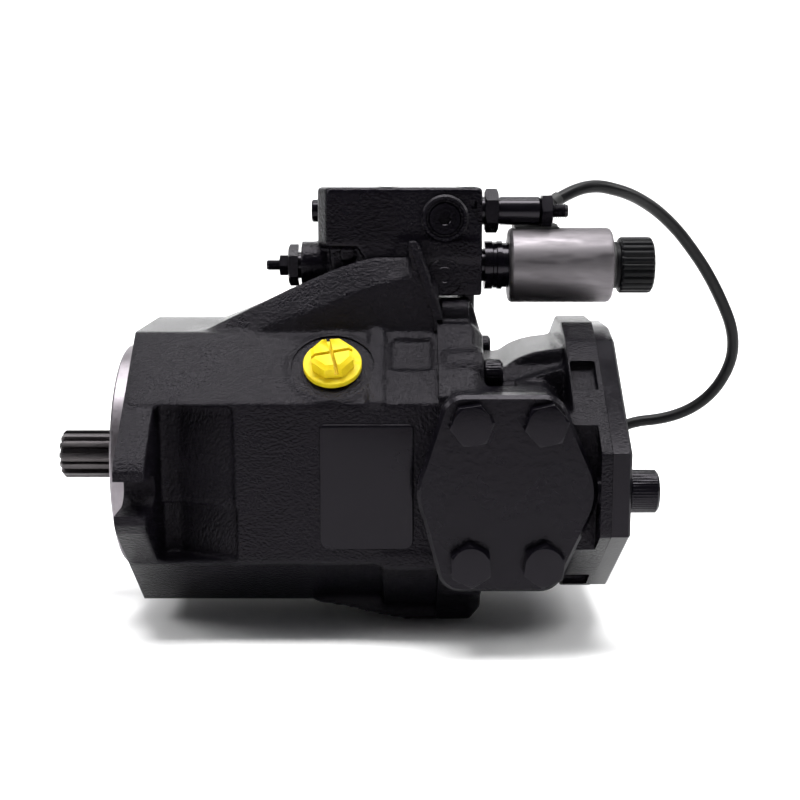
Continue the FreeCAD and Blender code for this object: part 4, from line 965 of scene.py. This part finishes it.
def socket_plug(radius, length, key):
    """A plug along +X: a flat face at 0 with a hexagon socket."""
    item = lathe([(-length, 0), (-length, radius - 0.4), (-length + 0.5, radius), (-0.6, radius),
                  (0, radius - 0.7), (0, radius * 0.55), (0, 0)], sides=72)
    recess = prism(hex_ring(key, (0, 0)), "X", -3.2, 2)
    mouth = lathe([(-0.3, 0), (-0.3, key / 2), (0.3, key / 2 + 0.7), (0.3, 0)], sides=48)
    return carve(item, recess, mouth)


def build_plugs():
    normal = Vector((0, NORMAL.y, NORMAL.z))
    far = on_diagonal(1, 87.0, 21.0, 0.4)
    flange = add(socket_plug(10.2, 9.0, 10.0), lathe([(0, 0), (0, 13.6), (0.4, 14.0), (3.0, 14.0), (3.5, 13.4),
                                                     (3.5, 0)], sides=96))
    carve(flange, prism(hex_ring(10.0, (0, 0)), "X", -3.0, 5))
    upper = socket_plug(6.0, 6.0, 5.0)
    ring = lathe([(-0.2, 5.0), (-0.2, 7.2), (0.2, 7.2), (1.0, 6.6), (1.0, 5.0)], sides=72)
    lower = socket_plug(5.0, 6.0, 4.0)
    end = lathe([(-6, 0), (-6, 4.6), (0, 4.6), (0, 5.1), (2.4, 5.1), (3.0, 4.6), (3.0, 0)], sides=64)
    carve(end, prism(hex_ring(4.0, (0, 0)), "X", 0.8, 4))
    plugs = [moved(flange, pointing(normal, far)),
             moved(upper, pointing((0, -1, 0), (BOSS_X, HEAD_FRONT - 1.6, UPPER_BOSS_Z))),
             moved(ring, pointing((0, -1, 0), (BOSS_X, HEAD_FRONT - 1.6, UPPER_BOSS_Z))),
             moved(lower, pointing((0, -1, 0), (BOSS_X, -22.75, LOWER_BOSS_Z))),
             moved(end, pointing((-1, 0, 0), (VALVE_LOW[0] + 8.0, 0, UPPER_Z)))]
    piece(joined(plugs), "hex_socket_plugs", SMOOTH, node="socket_plugs")


def build_adjusters():
    """Upper pressure adjuster on the right and the pilot adjuster at the lower left."""
    base = hexagon(17.2, 154.0, 160.2, (True, True), 30.0)
    tube = lathe([(150, 3.4), (150, 6.4), (160, 6.4), (160, 6.1), (161.2, 6.1), (161.2, 6.4), (178.4, 6.4),
                  (179.3, 5.6), (179.3, 3.4)], sides=72)
    carve(base, rod(3.4, "X", 140, 190, (0, 0)))
    add(base, tube)
    piece(moved(base, Matrix.Translation((0, 0, UPPER_Z))), "pressure_adjuster_housing", OXIDE,
          node="pressure_adjuster_sleeve")
    stud = screw_thread(3.3, 1.0, 152.0, 191.8, 0.9)
    carve(stud, prism(hex_ring(3.0, (0, 0)), "X", 188.6, 195))
    seat = lathe([(149.5, 0), (149.5, 5.2), (151.8, 5.2), (152.4, 3.0), (152.4, 0)], sides=48)
    add(stud, seat)
    piece(moved(stud, Matrix.Translation((0, 0, UPPER_Z))), "pressure_screw_threaded", OXIDE, "upper_screw",
          "pressure_adjusting_screw")
    low_nut = hexagon(9.0, 61.1, 65.1, (True, False), 0.0)
    carve(low_nut, rod(2.65, "X", 50, 80, (0, 0)))
    high_nut = hexagon(13.8, 179.45, 184.6, (True, True), 0.0)
    carve(high_nut, rod(3.4, "X", 170, 190, (0, 0)))
    nuts = [moved(low_nut, Matrix.Translation((0, 0, LOWER_Z))),
            moved(high_nut, Matrix.Translation((0, 0, UPPER_Z)))]
    piece(joined(nuts), "lock_nuts", OXIDE, node="adjuster_lock_nuts")
    plug = hexagon(16.4, 65.2, 69.8, (True, False), 30.0)
    neck = lathe([(69.5, 2.6), (69.5, 6.0), (80.4, 6.0), (80.4, 2.6)], sides=64)
    carve(plug, rod(2.65, "X", 50, 80, (0, 0)))
    add(plug, neck)
    piece(moved(plug, Matrix.Translation((0, 0, LOWER_Z))), "pilot_hex_plug", OXIDE, node="pilot_adjuster_plug")
    turned = Matrix.Translation((0, 0, LOWER_Z)) @ Matrix.Rotation(math.pi, 4, "Z")
    stud = moved(screw_thread(2.5, 0.8, -78.1, -55.1, 0.8), turned)
    piece(stud, "pilot_screw_threaded", OXIDE, "lower_screw", "pilot_adjusting_screw")


# ---------------------------------------------------------------- solenoid

def build_solenoid():
    tube = lathe([(144, 5.5), (144, 7.4), (154.1, 7.4), (154.1, 11.0), (157.6, 11.0), (158.0, 10.5), (159.4, 10.5),
                  (159.8, 11.0), (162.0, 11.0), (162.0, 10.2), (164.9, 10.2), (164.9, 6.95), (225.4, 6.95),
                  (226.4, 6.2), (226.4, 3.0), (210.0, 3.0), (210.0, 5.5)], centre=(0, 0, LOWER_Z), sides=96)
    piece(tube, "solenoid_core_tube", OXIDE, node="solenoid_tube")
    start, end, radius = 165.0, 211.8, 16.9
    can = lathe([(start, 7.1), (start, 15.4), (start + 0.4, 16.2), (start + 1.5, radius), (end - 2.2, radius),
                 (end - 1.0, 16.5), (end - 0.3, 15.6), (end, 14.2), (end, 7.1)], centre=(0, 0, LOWER_Z), sides=160)
    piece(can, "coil_can", COIL, node="solenoid_coil")
    shell = bevel(block((168.0, -4.0, 100.0), (188.0, 18.0, 106.6)), 1.2, 3)
    exit_point = Vector(CABLE_ROUTE[0])
    line = (Vector(CABLE_ROUTE[1]) - exit_point).normalized()
    gland = lathe([(-10.0, 0), (-10.0, 5.2), (-2.4, 5.0), (-1.6, 4.6), (0.0, 4.4), (0.0, 0)], sides=64)
    add(shell, moved(gland, pointing(line, exit_point)))
    carve(shell, rod(8.0, "X", 160, 200, (0, UPPER_Z), 64), rod(16.7, "X", 160, 200, (0, LOWER_Z), 128))
    piece(shell, "coil_cable_outlet", RUBBER)
    ring = lathe([(end + 0.1, 7.1), (end + 0.1, 10.4), (end + 1.5, 10.4), (end + 1.5, 7.1)],
                 centre=(0, 0, LOWER_Z), sides=96)
    piece(ring, "coil_seal_ring", RUBBER)


def build_knob():
    """Ribbed plastic nut that holds the coil, on a plain collar."""
    def ribs(distance, angle, radius):
        if radius < 12.0 or distance < 215.6:
            return 0.0
        return -0.75 * (0.5 - 0.5 * math.cos(24 * angle)) ** 3
    profile = [(213.4, 7.05), (213.4, 10.6), (215.2, 10.6), (215.4, 12.0), (216.2, 12.7)]
    profile += [(216.2 + 1.25 * k, 12.7) for k in range(1, 11)]
    profile += [(229.6, 12.5), (230.4, 11.2), (230.4, 0), (228.2, 0), (228.2, 7.05)]
    item = lathe(profile, centre=(0, 0, LOWER_Z), sides=240, ripple=ribs)
    piece(item, "knurled_coil_nut", KNOB, "knob", "coil_nut")


# ---------------------------------------------------------------- shaft and inner parts

SPLINE_TEETH = 13


def build_shaft():
    """Splined drive shaft: involute-like teeth on the stub, plain journals behind it."""
    def teeth(distance, angle, radius):
        if radius < 9.0 or distance > -13.0:
            return 0.0
        phase = 0.5 + 0.5 * math.cos(SPLINE_TEETH * (angle - math.pi / 2))
        return -1.9 * max(0.0, min(1.0, (0.62 - phase) / 0.34))
    tip = SHAFT_LOW[0]
    profile = [(tip, 0), (tip, 9.8), (tip + 1.3, 11.1)]
    profile += [(tip + 1.3 + k, 11.1) for k in range(1, 26)]
    profile += [(-12.9, 11.1), (-11.6, 11.1), (-11.0, 12.5), (0.5, 12.5), (0.5, 15.0), (19.0, 15.0), (19.0, 17.0),
                (22.0, 17.0), (22.0, 14.0), (128.0, 14.0), (128.0, 12.5), (150.0, 12.5), (150.0, 10.5),
                (173.0, 10.5), (174.0, 9.5), (174.0, 0)]
    item = lathe(profile, sides=26 * 12, ripple=teeth)
    centre_hole = [(tip - 1, 0), (tip - 1, 3.4), (tip + 1.2, 2.0), (tip + 5.0, 2.0), (tip + 6.2, 0)]
    carve(item, lathe(centre_hole, sides=48))
    piece(item, "splined_shaft", SPLINE, "rotor", "drive_shaft", 24.0)


def dress_inner_parts():
    """Pieces inside the pump keep their CAD shape and get the material they are made of."""
    hard = ["front_bearing_cup", "rear_bearing_cup", "front_bearing_cone", "rear_bearing_cone", "bearing_rollers",
            "bias_spring", "block_spring", "swash_plate", "control_piston", "bias_piston", "pressure_spool",
            "solenoid_plunger", "retaining_plate", "retaining_ball"]
    finishes = {STEEL: hard + [f"piston_{k}" for k in range(1, 10)],
                IRON: ["cylinder_block"],
                BRONZE: ["valve_plate", "cradle_bearings"] + [f"slipper_{k}" for k in range(1, 10)],
                RUBBER: ["shaft_seal", "static_seal_rings"]}
    for material, nodes in finishes.items():
        for node in nodes:
            for holder in frame["nodes"][node].material_slots:
                holder.material = material


def build_pressure_spring():
    """A steel copy of the pressure spring's CAD mesh, riding on the pump case."""
    node = frame["nodes"]["pressure_spring"]
    item = bpy.data.objects.new("pressure_spring_coils", node.data.copy())
    item.data.transform(node.matrix_world)
    bpy.context.scene.collection.objects.link(item)
    item.data.materials.clear()
    item.data.materials.append(STEEL)
    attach(item, CASE)
    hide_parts("pressure_spring")
    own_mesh(item)


# ---------------------------------------------------------------- run

set_stage()
build_cable()
build_housing()
build_port_plate()
build_suction_cover()
build_through_drive_cover()
build_drain_cap()
build_valve()
build_plugs()
build_adjusters()
build_solenoid()
build_knob()
build_shaft()
build_pressure_spring()
dress_inner_parts()
